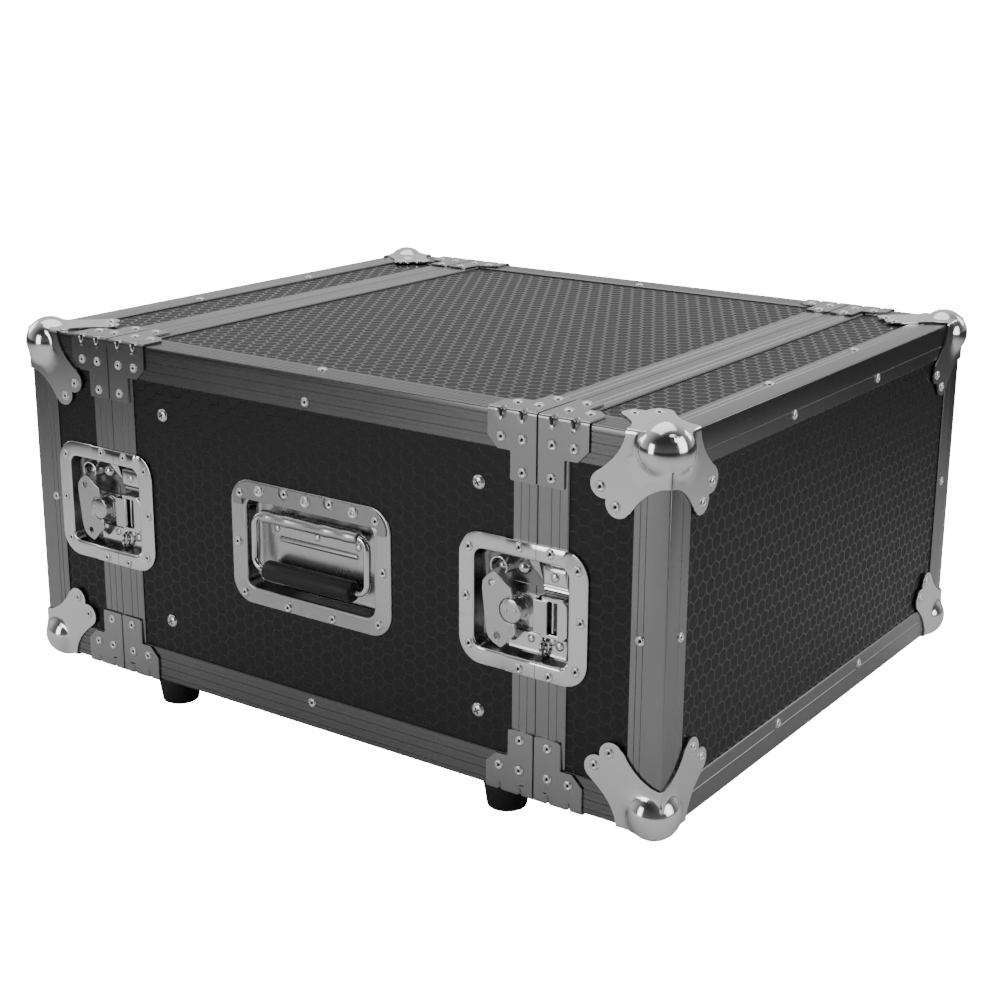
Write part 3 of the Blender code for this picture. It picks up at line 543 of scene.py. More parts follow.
def makeBlack(name, colour, roughness, metallic, grain):
    material, tree, shader, position = newFinish(name, metallic)
    wear = placeGroup(tree, wearGroup, {"Position": position, "Scale": 70.0, "Amount": 0.6})
    tone = mixColour(tree, wear["Scuffs"], colour, tuple(c * 2.2 for c in colour[:3]) + (1,))
    tree.links.new(tone, shader.inputs["Base Color"])
    rough = maths(tree, "MULTIPLY_ADD", wear["Grain"], 0.14, roughness)
    tree.links.new(rough, shader.inputs["Roughness"])
    bump(tree, shader, wear["Grain"], grain, 0.12 * mm)
    return material


laminate = makeLaminate()
# The X and Y copies are painted darker as shade, the Y copy most: it is the same aluminium, with its grain along
# another axis.
aluminium = {
    "x": makeAluminium("drawnAluminiumXPaintedShade", (6, 2600, 2600), 0.9),
    "y": makeAluminium("drawnAluminiumYPaintedShade", (2600, 6, 2600), 0.68),
    "z": makeAluminium("drawnAluminiumZ", (2600, 2600, 6), 1.0),
}
nickel = makePlate("nickelPlate", (0.82, 0.82, 0.815, 1), 0.12, 0.10, 0.10)
polished = makePlate("polishedNickel", (0.84, 0.84, 0.835, 1), 0.07, 0.06, 0.02)
satin = makePlate("satinPlate", (0.66, 0.66, 0.66, 1), 0.24, 0.08, 0.05)
dullNickel = makePlate("dullNickel", (0.40, 0.40, 0.40, 1), 0.17, 0.08, 0.06)
brightNickel = makePlate("brightNickel", (0.93, 0.93, 0.925, 1), 0.09, 0.08, 0.05)
rivetPlate = makePlate("rivetPlate", (0.95, 0.95, 0.95, 1), 0.26, 0.05, 0.0)
# paintedShadeNickel is nickel plate made dark to paint the shade in the latch and handle dishes and in the keeper's
# slot
paintedShadeNickel = makePlate("paintedShadeNickel", (0.30, 0.30, 0.30, 1), 0.16, 0.08, 0.06)
satinDark = makePlate("satinPlateDark", (0.42, 0.42, 0.42, 1), 0.30, 0.08, 0.05)
zinc = makePlate("zincPlate", (0.74, 0.74, 0.74, 1), 0.12, 0.08, 0.05)
railPaint = makeBlack("railPaint", (0.03, 0.03, 0.032, 1), 0.36, 0.3, 0.25)
rubber = makeBlack("blackRubber", (0.011, 0.011, 0.011, 1), 0.42, 0.0, 0.3)
# near black, painted shade in the rivets' bores and the bolts' cross slots
boreShade = makeBlack("rivetBorePaintedShade", (0.004, 0.004, 0.004, 1), 0.6, 0.0, 0.1)

# The floor's tone as the camera sees it, and for other rays a painted pool of light around a spot near the case
# that fades to dark far off.
floorLook = {
    "size": 40.0, "seen": (0.84, 0.84, 0.84, 1), "mirrored": (0.8, 0.8, 0.8, 1),
    "far": (0.05, 0.05, 0.05, 1), "near": 0.35, "faded": 2.0, "paintedPoolCentre": (-0.2, 0.15, 0), "lift": 20.0,
}


def makeFloor():
    half = floorLook["size"] / 2
    rows = [[(x, y, 0) for x in (-half, 0, half)] for y in (-half, 0, half)]
    floor = newObject("floor", sheetMesh(skin(rows, closed=False), lambda spot: Vector((0, 0, 1))))
    material, tree, shader, position = newFinish("paleFloor")
    sight = addNode(tree, "ShaderNodeLightPath").outputs["Is Camera Ray"]
    away = addNode(tree, "ShaderNodeVectorMath", {0: position, 1: floorLook["paintedPoolCentre"]},
                   operation="DISTANCE").outputs["Value"]
    fade = addNode(tree, "ShaderNodeMapRange", {
        "Value": away, "From Min": floorLook["near"], "From Max": floorLook["faded"],
    }, interpolation_type="SMOOTHSTEP").outputs["Result"]
    # painted pool of light: bright near its centre, dark far away
    tone = mixColour(tree, fade, floorLook["mirrored"], floorLook["far"])
    tone = mixColour(tree, sight, tone, floorLook["seen"])
    tree.links.new(tone, shader.inputs["Base Color"])
    haze = addNode(tree, "ShaderNodeTexNoise", {"Vector": position, "Scale": 0.8})
    tree.links.new(maths(tree, "MULTIPLY_ADD", haze.outputs[0], 0.1, 0.65), shader.inputs["Roughness"])
    shader.inputs["Specular IOR Level"].default_value = 0.1
    glow = addNode(tree, "ShaderNodeEmission", {"Color": (1, 1, 1, 1)})
    tree.links.new(maths(tree, "MULTIPLY", sight, floorLook["lift"]), glow.inputs["Strength"])
    both = addNode(tree, "ShaderNodeAddShader", {0: shader.outputs[0], 1: glow.outputs[0]})
    below = addNode(tree, "ShaderNodeNewGeometry").outputs["Backfacing"]
    clear = addNode(tree, "ShaderNodeBsdfTransparent")
    shown = addNode(tree, "ShaderNodeMixShader", {0: below, 1: both.outputs[0], 2: clear.outputs[0]})
    tree.links.new(shown.outputs[0], tree.nodes["Material Output"].inputs["Surface"])
    floor.data.materials.append(material)


makeFloor()

# CAD solids that stay take their finish here.
for nodeName, nodeObject in frame["nodes"].items():
    if nodeName.endswith(("_panel", "_tray")):
        finish = laminate
    elif nodeName.endswith("_rack_rail"):
        finish = railPaint
    elif nodeName.endswith("_grip") or nodeName.startswith("foot_"):
        finish = rubber
    elif nodeName.endswith("_edge"):
        finish = aluminium["y"]
    elif nodeName.endswith(("_spindle", "_hook", "_strap")):
        finish = zinc
    else:
        finish = nickel
    nodeObject.data.materials.clear()
    nodeObject.data.materials.append(finish)
print("finishes ready")


rivetLook = {"headRadius": 4.2 * mm, "boreRadius": 0.9 * mm, "domeHeight": 1.5 * mm, "sides": 12,
             "slot": (3.6 * mm, 0.75 * mm, 0.5 * mm)}
rivetsOf = {}


def rivet(body, spot, facing, kind="tubular", size=1.0):
    rivetsOf.setdefault((body, kind), []).append((Vector(spot), Vector(facing), size))


def sideRivet(body, side, y, z, depth=0.0, kind="tubular", size=1.0):
    rivet(body, sidePoint(side, depth, y, z), (side, 0, 0), kind, size)


def makeRivetTree(kind):
    tree = bpy.data.node_groups.new(kind + "Rivets", "GeometryNodeTree")
    tree.interface.new_socket("Geometry", in_out="INPUT", socket_type="NodeSocketGeometry")
    for label in ("Head Radius", "Bore Radius", "Dome Height"):
        tree.interface.new_socket(label, in_out="INPUT", socket_type="NodeSocketFloat")
    tree.interface.new_socket("Sides", in_out="INPUT", socket_type="NodeSocketInt")
    for label in ("Metal", "Bore"):
        tree.interface.new_socket(label, in_out="INPUT", socket_type="NodeSocketMaterial")
    tree.interface.new_socket("Geometry", in_out="OUTPUT", socket_type="NodeSocketGeometry")
    given = tree.nodes.new("NodeGroupInput").outputs

    def moved(geometry, **change):
        return addNode(tree, "GeometryNodeTransform", {"Geometry": geometry, **change}).outputs[0]

    def flattened(geometry, radius):
        height = maths(tree, "DIVIDE", given["Dome Height"], radius)
        scale = addNode(tree, "ShaderNodeCombineXYZ", {0: 1.0, 1: 1.0, 2: height}).outputs[0]
        return moved(geometry, Scale=scale)

    def paintedShadeAt(geometry, share):
        # raised by a share of the dome's height and marked for the near-black finish, painted shade in a bore or a
        # cross slot
        height = maths(tree, "MULTIPLY", given["Dome Height"], share)
        raised = moved(geometry, Translation=addNode(tree, "ShaderNodeCombineXYZ", {2: height}).outputs[0])
        return addNode(tree, "GeometryNodeStoreNamedAttribute", {
            "Geometry": raised, "Name": "paintedShadeMask", "Value": True,
        }, data_type="BOOLEAN", domain="FACE").outputs[0]

    if kind == "tubular":
        wall = maths(tree, "MULTIPLY", maths(tree, "SUBTRACT", given["Head Radius"], given["Bore Radius"]), 0.5)
        centre = maths(tree, "SUBTRACT", given["Head Radius"], wall)
        path = addNode(tree, "GeometryNodeCurvePrimitiveCircle", {"Resolution": given["Sides"], "Radius": centre})
        bead = addNode(tree, "GeometryNodeCurvePrimitiveCircle", {"Resolution": 5, "Radius": wall})
        ringMesh = addNode(tree, "GeometryNodeCurveToMesh", {
            "Curve": path.outputs["Curve"], "Profile Curve": bead.outputs["Curve"],
        })
        # a near-black disc low in the bore paints the bore's shade
        disc = addNode(tree, "GeometryNodeMeshCircle", {
            "Vertices": 8, "Radius": maths(tree, "MULTIPLY", given["Bore Radius"], 1.35),
        }, fill_type="NGON")
        parts = [flattened(ringMesh.outputs[0], wall), paintedShadeAt(disc.outputs[0], 0.35)]
    else:
        ball = addNode(tree, "GeometryNodeMeshUVSphere", {
            "Segments": given["Sides"], "Rings": 5, "Radius": given["Head Radius"],
        })
        parts = [flattened(ball.outputs["Mesh"], given["Head Radius"])]
    if kind == "bolt":
        # near-black bars paint the shade in the bolt head's cross slots
        for turn in (0.5, 0.5 + math.pi / 2):
            bar = addNode(tree, "GeometryNodeMeshCube", {"Size": rivetLook["slot"]})
            parts.append(paintedShadeAt(moved(bar.outputs[0], Rotation=(0, 0, turn)), 0.82))
    one = tree.nodes.new("GeometryNodeJoinGeometry")
    for part in parts:
        tree.links.new(part, one.inputs[0])
    smooth = addNode(tree, "GeometryNodeSetShadeSmooth", {"Geometry": one.outputs[0]})
    facing = addNode(tree, "GeometryNodeInputNamedAttribute", {"Name": "facing"}, data_type="FLOAT_VECTOR")
    size = addNode(tree, "GeometryNodeInputNamedAttribute", {"Name": "size"}, data_type="FLOAT")
    turned = addNode(tree, "FunctionNodeAlignRotationToVector", {"Vector": facing.outputs[0]}, axis="Z")
    setOut = addNode(tree, "GeometryNodeInstanceOnPoints", {
        "Points": given["Geometry"], "Instance": smooth.outputs[0], "Rotation": turned.outputs[0],
        "Scale": size.outputs[0],
    })
    real = addNode(tree, "GeometryNodeRealizeInstances", {0: setOut.outputs[0]})
    last = addNode(tree, "GeometryNodeSetMaterial", {"Geometry": real.outputs[0], "Material": given["Metal"]})
    if len(parts) > 1:
        paintedShadeMask = addNode(tree, "GeometryNodeInputNamedAttribute", {"Name": "paintedShadeMask"}, data_type="BOOLEAN")
        last = addNode(tree, "GeometryNodeSetMaterial", {
            "Geometry": last.outputs[0], "Selection": paintedShadeMask.outputs[0], "Material": given["Bore"],
        })
    result = tree.nodes.new("NodeGroupOutput")
    tree.links.new(last.outputs[0], result.inputs[0])
    return tree


def setOutRivets():
    trees = {kind: makeRivetTree(kind) for kind in ("tubular", "domed", "bolt")}
    for (body, kind), spots in sorted(rivetsOf.items()):
        cloud = bpy.data.meshes.new("rivetPoints")
        cloud.from_pydata([spot for spot, facing, size in spots], [], [])
        facings = cloud.attributes.new("facing", "FLOAT_VECTOR", "POINT")
        facings.data.foreach_set("vector", [c for spot, facing, size in spots for c in facing])
        sizes = cloud.attributes.new("size", "FLOAT", "POINT")
        sizes.data.foreach_set("value", [size for spot, facing, size in spots])
        name = body + "_" + kind + "_rivets"
        obj = newObject(name, cloud)
        made = obj.modifiers.new("rivets", "NODES")
        made.node_group = trees[kind]
        sockets = {item.name: item.identifier for item in trees[kind].interface.items_tree
                   if item.in_out == "INPUT"}
        values = {
            "Head Radius": rivetLook["headRadius"], "Bore Radius": rivetLook["boreRadius"],
            "Dome Height": rivetLook["domeHeight"], "Sides": rivetLook["sides"],
            "Metal": rivetPlate, "Bore": boreShade,
        }
        for label, value in values.items():
            made[sockets[label]] = value
        mesh = baked(obj)
        mesh.name = name
        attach(obj, body)
    print("rivets set out:", sum(len(spots) for spots in rivetsOf.values()))


profileLook = {
    "wall": 1.2 * mm, "corner": 1.5 * mm, "lip": 0.9 * mm,
    "long": ((5.0, 0.9, 0.45), (8.7, 0.7, 0.2), (12.5, 0.9, 0.45), (16.2, 0.7, 0.2),
             (20.2, 0.9, 0.45), (23.9, 0.7, 0.2)),
    "lidSide": ((18.3, 1.0, 0.45), (23.3, 1.1, 0.5)),
    "lidFace": ((17.8, 0.9, 0.3),),
    "narrow": ((7.1, 1.0, 0.45), (14.1, 1.0, 0.45)),
    "wide": ((12.2, 1.2, 0.5), (19.2, 1.2, 0.5)),
}


def legLine(leg, grooves):
    # (along, depth) from the leg's tip to its corner
    wall, lip = profileLook["wall"], profileLook["lip"]
    line = [(leg, wall), (leg, 0.6 * wall), (leg - lip, 0)]
    for at, wide, deep in reversed(grooves):
        at, half, deep = at * mm, wide * mm / 2, deep * mm
        line += [(at + half, 0), (at + half * 0.5, deep), (at - half * 0.5, deep), (at - half, 0)]
    return line


def angleOutline(firstGrooves, secondGrooves):
    wall, corner = profileLook["wall"], profileLook["corner"]
    outline = list(legLine(edgeLeg, firstGrooves))
    for i in range(5):
        turn = math.radians(22.5 * i)
        outline.append((corner - corner * math.sin(turn), corner - corner * math.cos(turn)))
    outline += [(deep, along) for along, deep in reversed(legLine(edgeLeg, secondGrooves))]
    outline.append((wall, wall))
    return outline


def angleAlongY(side, level, ys, grooves):
    outline = angleOutline(grooves, grooves)
    return skin([
        [(side * (halfWidth - dx), y, caseMiddle + level * (halfHeight - dz)) for dx, dz in outline]
        for y in ys
    ])


def frameRing(section):
    loops = []
    for side, level in ((1, 1), (-1, 1), (-1, -1), (1, -1)):
        loops.append([
            (side * (halfWidth - across), y, caseMiddle + level * (halfHeight - down))
            for across, down, y in section
        ])
    return skin(loops, ring=True)


latchLook = {
    "rise": 0.4 * mm, "height": 104 * mm, "knobSide": 69.7 * mm, "keeperSide": 44 * mm,
    "windowKnob": 56.4 * mm, "windowKeeper": 27.5 * mm, "windowHeight": 77.4 * mm,
    "corner": 20 * mm, "windowCorner": 8 * mm, "depth": 12 * mm,
}


def latchCutter(side, split):
    look = latchLook
    spare = 1.5 * mm
    ys = (split - look["windowKeeper"] - spare, split + look["windowKnob"] + spare)
    half = look["windowHeight"] / 2 + spare
    middle = caseMiddle + look["rise"]
    return sideBlock(side, (-3 * mm, 13.3 * mm), ys, (middle - half, middle + half))


def buildEdges():
    spare = 0.3 * mm
    ys = (splits["front"] + mouthLegs["front"][1] + spare, splits["rear"] - mouthLegs["rear"][1] - spare)
    for sideName, side in sides.items():
        for levelName, level in levels.items():
            node = f"body_{levelName}_{sideName}_edge"
            mesh = closedMesh(angleAlongY(side, level, ys, profileLook["long"]))
            addPiece("edge_profile_" + levelName + "_" + sideName, mesh, aluminium["y"],
                     bodyOf(node), [node], angle=25)


def mouthSection(split, way, leg, isBody):
    wall = profileLook["wall"]
    start = lidGap
    sideRim, topRim = 16 * mm, 13.5 * mm
    grooves = profileLook["narrow" if leg < 24 * mm else "wide"]
    if isBody:
        near, far, reach, rim = 5.5 * mm, 9 * mm, 4 * mm, 6 * mm
    else:
        near, far, reach, rim = 6 * mm, 8.5 * mm, -3 * mm, 4 * mm
    flat = [
        (0.35 * mm, start), (near, start), (near, reach), (far, reach), (far, start),
        (None, start), (None, rim), (wall, rim),
    ]
    flat += [(deep, along) for along, deep in legLine(leg, grooves)]
    flat.append((0, start + 0.45 * mm))
    section = []
    for inset, along in flat:
        insets = (sideRim, topRim) if inset is None else (inset, inset)
        section.append((*insets, split + way * along))
    return section


def buildMouths():
    for place, split in splits.items():
        for isBody in (False, True):
            way = inwards[place] if isBody else -inwards[place]
            leg = mouthLegs[place][1 if isBody else 0]
            node = f"body_{place}_mouth_frame" if isBody else f"{place}_lid_mouth_frame"
            mesh = closedMesh(frameRing(mouthSection(split, way, leg, isBody)))
            mesh = cutMesh(mesh, [latchCutter(side, split) for side in sides.values()])
            addPiece("mouth_profile_" + node, mesh, [aluminium["x"], aluminium["z"]],
                     bodyOf(node), [node], angle=25)
            buildBraces(place, split, way, bodyOf(node), "body" if isBody else "lid")


def buildLidEdges():
    for place, face in faces.items():
        way = inwards[place]
        node = f"{place}_lid_edge_frame"
        outline = angleOutline(profileLook["lidFace"], profileLook["lidSide"])
        ring = closedMesh(frameRing([(inset, inset, face + way * along) for inset, along in outline]))
        addPiece(f"{place}_lid_face_profiles", ring, [aluminium["x"], aluminium["z"]],
                 bodyOf(node), [node], angle=25)
        ys = (face + way * (edgeLeg + 0.2 * mm), splits[place] - way * (mouthLegs[place][0] + 0.3 * mm))
        angles = [closedMesh(angleAlongY(side, level, ys, profileLook["long"]))
                  for side in sides.values() for level in levels.values()]
        addPiece(f"{place}_lid_long_profiles", merged(angles), aluminium["y"],
                 bodyOf(node), (), angle=25)


# Rounds a point off near the case's edges; insets are measured in from three faces.
def roundedOff(insets, height, radius):
    lacks = [max(0.0, radius - (inset + height)) for inset in insets]
    length = math.sqrt(sum(lack * lack for lack in lacks))
    if length <= radius:
        return list(insets)
    return [
        inset if lack == 0 else -height + radius - lack * radius / length
        for inset, lack in zip(insets, lacks)
    ]


braceLook = {
    "start": 0.8 * mm,
    "arm": 43 * mm, "armWidth": 29 * mm, "stem": 23 * mm, "reach": 51 * mm, "chamfer": 9 * mm,
    "height": 1.7 * mm, "sheet": 1.35 * mm, "bend": 2.4 * mm, "dentAt": (12.7 * mm, 31 * mm),
    "dentWidth": 2.1 * mm, "dentReach": 7.5 * mm, "dentDepth": 2.1 * mm,
    "rivets": ((12.7, 19.6), (31.0, 19.6), (12.4, 44.0)),
}


def braceShape(split, way, side, level):
    look = braceLook
    height, strip = look["height"], 9.5 * mm
    alongs = [look["start"], 4 * mm, 8 * mm]
    for at in look["dentAt"]:
        alongs += [at + look["dentWidth"] * share for share in (-1, -0.66, -0.33, 0, 0.33, 0.66, 1)]
    alongs += [18 * mm, look["stem"], 26 * mm, 37 * mm, look["arm"]]
    alongs.sort()
    drops = [9.5, 7.5, 6, 4.6, 3.3, 2.4, 1.7, 1.1, 0.55, 0]
    acrosses = [-drop * mm for drop in drops] + [drop * mm for drop in reversed(drops[:-1])]

    def place(along, across):
        # across runs over the case's edge, from the top plate (below 0) to the side plate
        insets = [-height, across - height] if across > 0 else [-across - height, -height]
        dx, dz = roundedOff(insets, height, look["bend"])
        sink = 0
        for at in look["dentAt"]:
            off = abs(along - at) / look["dentWidth"]
            if off < 1 and abs(across) < look["dentReach"]:
                sink += math.cos(off * math.pi / 2) ** 2 * (1 - (abs(across) / look["dentReach"]) ** 2) ** 0.7
        dx, dz = dx + sink * look["dentDepth"] * 0.7, dz + sink * look["dentDepth"] * 0.7
        return (side * (halfWidth - dx), split + way * along, caseMiddle + level * (halfHeight - dz))

    shape = bmesh.new()
    rows = [[shape.verts.new(place(along, across)) for along in alongs] for across in acrosses]
    for first, second in zip(rows, rows[1:]):
        for i in range(len(alongs) - 1):
            shape.faces.new((first[i], first[i + 1], second[i + 1], second[i]))
    arm, width, stem, reach, chamfer = (look[key] for key in ("arm", "armWidth", "stem", "reach", "chamfer"))
    small = 1.3 * mm
    rest = [
        (arm, width - chamfer), (arm - chamfer, width), (stem + small, width),
        (stem + 0.3 * small, width + 0.3 * small), (stem, width + small), (stem, reach - small),
        (stem - 0.3 * small, reach - 0.3 * small), (stem - small, reach),
        (look["start"] + small, reach), (look["start"] + 0.3 * small, reach - 0.3 * small),
        (look["start"], reach - small),
    ]
    for row, turn in ((rows[-1], 1), (rows[0], -1)):
        far = [shape.verts.new(place(along, turn * (drop + height))) for along, drop in rest]
        shape.faces.new(row + far)
    bmesh.ops.triangulate(shape, faces=[face for face in shape.faces if len(face.verts) > 4])
    return shape


def buildBraces(place, split, way, body, label):
    inside = Vector((0, split + way * 20 * mm, caseMiddle))
    shapes = []
    for side in sides.values():
        for level in levels.values():
            shapes.append(sheetMesh(braceShape(split, way, side, level), lambda spot: spot - inside))
            for along, drop in braceLook["rivets"]:
                y = split + way * along * mm
                z = caseMiddle + level * (halfHeight - drop * mm)
                sideRivet(body, side, y, z, -braceLook["height"])
                x = side * (halfWidth - drop * mm)
                rivet(body, (x, y, caseMiddle + level * (halfHeight + braceLook["height"])), (0, 0, level))
    mesh = thickened(merged(shapes), braceLook["sheet"])
    addPiece(f"{place}_{label}_braces", mesh, dullNickel, body, (), angle=40)


cornerLook = {
    "height": 1.7 * mm, "sheet": 1.3 * mm, "bend": 2.0 * mm, "ball": 21 * mm, "inset": 12 * mm,
    "blend": 3.6 * mm, "slit": 0.8 * mm, "lobe": (55.0, 42.5), "lobeRadius": 10.3,
    "neck": ((0, 37.4), (7.5, 38.3), (13, 40), (18.2, 43.2), (22.8, 47.7), (25.9, 53.4),
             (27.8, 59.9), (28.7, 64.6)),  # angle in degrees, reach in mm
    "rivets": ((55.3, 42.6), (42.6, 55.3)),
}


def leafReach(angle):
    angle = min(angle, 90 - angle)
    neck = cornerLook["neck"]
    if angle <= neck[-1][0]:
        for (a, first), (b, second) in zip(neck, neck[1:]):
            if angle <= b:
                return (first + (second - first) * (angle - a) / (b - a)) * mm
    lobe = Vector(cornerLook["lobe"])
    ray = Vector((math.cos(math.radians(angle)), math.sin(math.radians(angle))))
    along = lobe.dot(ray)
    inner = along * along - lobe.length_squared + cornerLook["lobeRadius"] ** 2
    return (along + math.sqrt(max(0.0, inner))) * mm


def cornerSurface(insets):
    look = cornerLook
    insets = roundedOff(insets, look["height"], look["bend"])
    centre = Vector((look["inset"],) * 3)
    offset = Vector(insets) - centre
    distance = offset.length
    far = min(1.0, max(0.0, (max(insets) - 15 * mm) / (7 * mm)))
    blend = look["blend"] * far
    reach = max(distance, look["ball"])
    if blend > 0:
        near = max(0.0, blend - abs(distance - look["ball"])) / blend
        reach += near * near * blend / 4
    return centre + offset * (reach / distance)


def cornerShape(place, side, level):
    look = cornerLook
    height = look["height"]
    half = [0, 3, 6, 9.5, 13, 16, 18.6, 20.8, 22.8, 24.4, 25.9, 27, 27.8, 28.7, 29.2, 30, 31.2, 32.6,
            34.5, 36.5, 38.7, 41, 43.2, 45]
    angles = half + [90 - angle for angle in reversed(half[:-1])]
    inner, rings, outer = 34 * mm, 24, 6

    def point(insets):
        dx, dy, dz = cornerSurface(insets)
        return (side * (halfWidth - dx), faces[place] + inwards[place] * dy,
                caseMiddle + level * (halfHeight - dz))

    shape = bmesh.new()
    for normal in range(3):
        first, second = [axis for axis in range(3) if axis != normal]
        rows = []
        for angle in angles:
            turn = math.radians(angle)
            full = leafReach(angle)
            reaches = [inner * i / rings for i in range(1, rings + 1)]
            reaches += [inner + (full - inner) * i / outer for i in range(1, outer + 1)]
            row = []
            for reach in reaches:
                insets = [-height] * 3
                insets[first] += reach * math.cos(turn)
                insets[second] += reach * math.sin(turn)
                if second == 2 and angle == 90 and reach > 25 * mm:
                    insets[first] += look["slit"]  # the sheet's ends meet at the upright edge
                row.append(shape.verts.new(point(insets)))
            rows.append(row)
        tip = shape.verts.new(point([-height] * 3))
        for one, two in zip(rows, rows[1:]):
            shape.faces.new((tip, one[0], two[0]))
            for i in range(len(one) - 1):
                shape.faces.new((one[i], one[i + 1], two[i + 1], two[i]))
    bmesh.ops.remove_doubles(shape, verts=shape.verts, dist=0.02 * mm)
    return shape


def buildCorners():
    for place in faces:
        for sideName, side in sides.items():
            for levelName, level in levels.items():
                node = f"{place}_lid_{levelName}_{sideName}_corner"
                inside = Vector((side * 0.2, faces[place] + inwards[place] * 0.06, caseMiddle + level * 0.08))
                mesh = sheetMesh(cornerShape(place, side, level), lambda spot: spot - inside)
                mesh = thickened(mesh, cornerLook["sheet"])
                addPiece("ball_" + node, mesh, brightNickel, bodyOf(node), [node], angle=50)
                for a, b in cornerLook["rivets"]:
                    a, b, lift = a * mm, b * mm, cornerLook["height"]
                    y, z = faces[place] + inwards[place] * a, caseMiddle + level * (halfHeight - b)
                    sideRivet(bodyOf(node), side, y, z, -lift)
                    x, z = side * (halfWidth - a), caseMiddle + level * (halfHeight - b)
                    rivet(bodyOf(node), (x, faces[place] - inwards[place] * lift, z), (0, -inwards[place], 0))
                    y = faces[place] + inwards[place] * b
                    rivet(bodyOf(node), (x, y, caseMiddle + level * (halfHeight + lift)), (0, 0, level))


def profileRivets():
    body = "case_body"
    for side in sides.values():
        for level in levels.values():
            sideRivet(body, side, bodyMiddle, caseMiddle + level * (halfHeight - 22 * mm))
            rivet(body, (side * (halfWidth - 22 * mm), bodyMiddle, caseMiddle + level * halfHeight), (0, 0, level))
    for place, face in faces.items():
        lid = place + "_lid"
        way = inwards[place]
        for side in sides.values():
            sideRivet(lid, side, face + way * 20.8 * mm, caseMiddle - 2 * mm)
            rivet(lid, (side * (halfWidth - 20.3 * mm), face, caseMiddle - 1 * mm), (0, -way, 0))
            for level in levels.values():
                x = side * 78 * mm
                rivet(lid, (x, face, caseMiddle + level * (halfHeight - 21.3 * mm)), (0, -way, 0))
                rivet(lid, (x, face + way * 22 * mm, caseMiddle + level * halfHeight), (0, 0, level))


buildEdges()
buildMouths()
buildLidEdges()
buildCorners()
profileRivets()
print("profiles, braces and corners ready")


def circle(place, radius, height, steps):
    turns = [math.tau * i / steps for i in range(steps)]
    return [place @ Vector((radius * math.cos(turn), radius * math.sin(turn), height)) for turn in turns]


def turned(section, place, steps=24):
    # section holds (radius, height) along the local Z of place
    shape = skin([circle(place, radius, height, steps) for radius, height in section])
    bmesh.ops.remove_doubles(shape, verts=shape.verts, dist=1e-7)
    return creased(closedMesh(shape), 42)


def inMm(values):
    return [(a * mm, b * mm) for a, b in values]


def facingFrame(spot, inward):
    turn = inward.to_track_quat("Z", "Y").to_matrix().to_4x4()
    turn.translation = spot
    return turn


def dishSheet(side, flange, window, corners, profile):
    # corners: radii of flange and window; profile: (which, growth, depth) in mm
    loops = []
    for which, growth, depth in profile:
        yLow, yHigh, zLow, zHigh = flange if which == "flange" else window
        radius = corners[0 if which == "flange" else 1] + growth * mm
        grow = growth * mm
        outline = roundedRect(yLow - grow, yHigh + grow, zLow - grow, zHigh + grow, radius)
        loops.append([sidePoint(side, depth * mm, y, z) for y, z in outline])
    shape = skin(loops, caps=False)
    shape.faces.new([vert for vert in list(shape.verts)[-len(loops[-1]):]])
    return shape


def paintedShadeFaces(mesh, shallow, deep):
    # numbers the faces that lie between two depths from the side faces, so that they take the painted shade
    for polygon in mesh.polygons:
        depth = halfWidth - abs(polygon.center.x)
        polygon.material_index = 1 if shallow * mm < depth < deep * mm else 0
    return mesh


def cutSheet(shape, y, keep=0):
    geometry = list(shape.verts) + list(shape.edges) + list(shape.faces)
    bmesh.ops.bisect_plane(shape, geom=geometry, plane_co=(0, y, 0), plane_no=(0, 1, 0),
                           clear_outer=keep < 0, clear_inner=keep > 0)


latchProfile = (
    ("flange", 0, -0.05), ("flange", 0, -0.9), ("flange", -0.3, -1.3), ("flange", -0.8, -1.5),
    ("window", 2.6, -1.5), ("window", 1.6, -1.35), ("window", 0.8, -0.95), ("window", 0.2, -0.2),
    ("window", 0, 1), ("window", -1.6, 9.6), ("window", -2.3, 11), ("window", -3.8, 11.8),
    ("window", -5.5, 12),
)
latchDetail = {
    "sheet": 1.0 * mm, "step": 1.15, "stepKnob": 27.2, "stepKeeper": -27.0,
    "rivets": ((60.7, 43.5), (14.7, 51.6), (-12.3, 51.6), (-35.3, 43), (-38.3, 4), (-34.8, -34),
               (-12.3, -43), (14.2, -42.6), (60.2, -33), (63.2, 4.5)),
    "wing": ((24.2, 16), (22.8, 22), (18.5, 26.3), (13, 29.4), (10.5, 28.5), (-2.5, 17.5)),
    "notch": 10.2, "wingTop": 0.5, "wingWall": 1.6, "tilt": -7,
}


def latchSheet(side, split, middle, keep):
    look = latchLook
    flange = (split - look["keeperSide"], split + look["knobSide"],
              middle - look["height"] / 2, middle + look["height"] / 2)
    window = (split - look["windowKeeper"], split + look["windowKnob"],
              middle - look["windowHeight"] / 2, middle + look["windowHeight"] / 2)
    shape = dishSheet(side, flange, window, (look["corner"], look["windowCorner"]), latchProfile)
    knobStep, keeperStep = (split + latchDetail[key] * mm for key in ("stepKnob", "stepKeeper"))
    for step in (knobStep, keeperStep):
        for off in (-0.9, 0.9):
            cutSheet(shape, step + off * mm)
    for vert in shape.verts:
        # the flange drops from the profiles on to the sheet either side
        beyond = max(vert.co.y - knobStep, keeperStep - vert.co.y) / mm
        share = min(1, max(0, (beyond + 0.9) / 1.8))
        depth = (halfWidth - abs(vert.co.x)) / mm
        share *= min(1, max(0, (1 - depth) / 2.5))
        vert.co.x -= side * share * latchDetail["step"] * mm
    cutSheet(shape, split + keep * lidGap, keep)
    mesh = sheetMesh(shape, lambda spot: Vector((side, 0, 0)))
    # the latch dish's walls and floor are painted darker as shade
    return paintedShadeFaces(thickened(mesh, latchDetail["sheet"]), 1.5, 20)


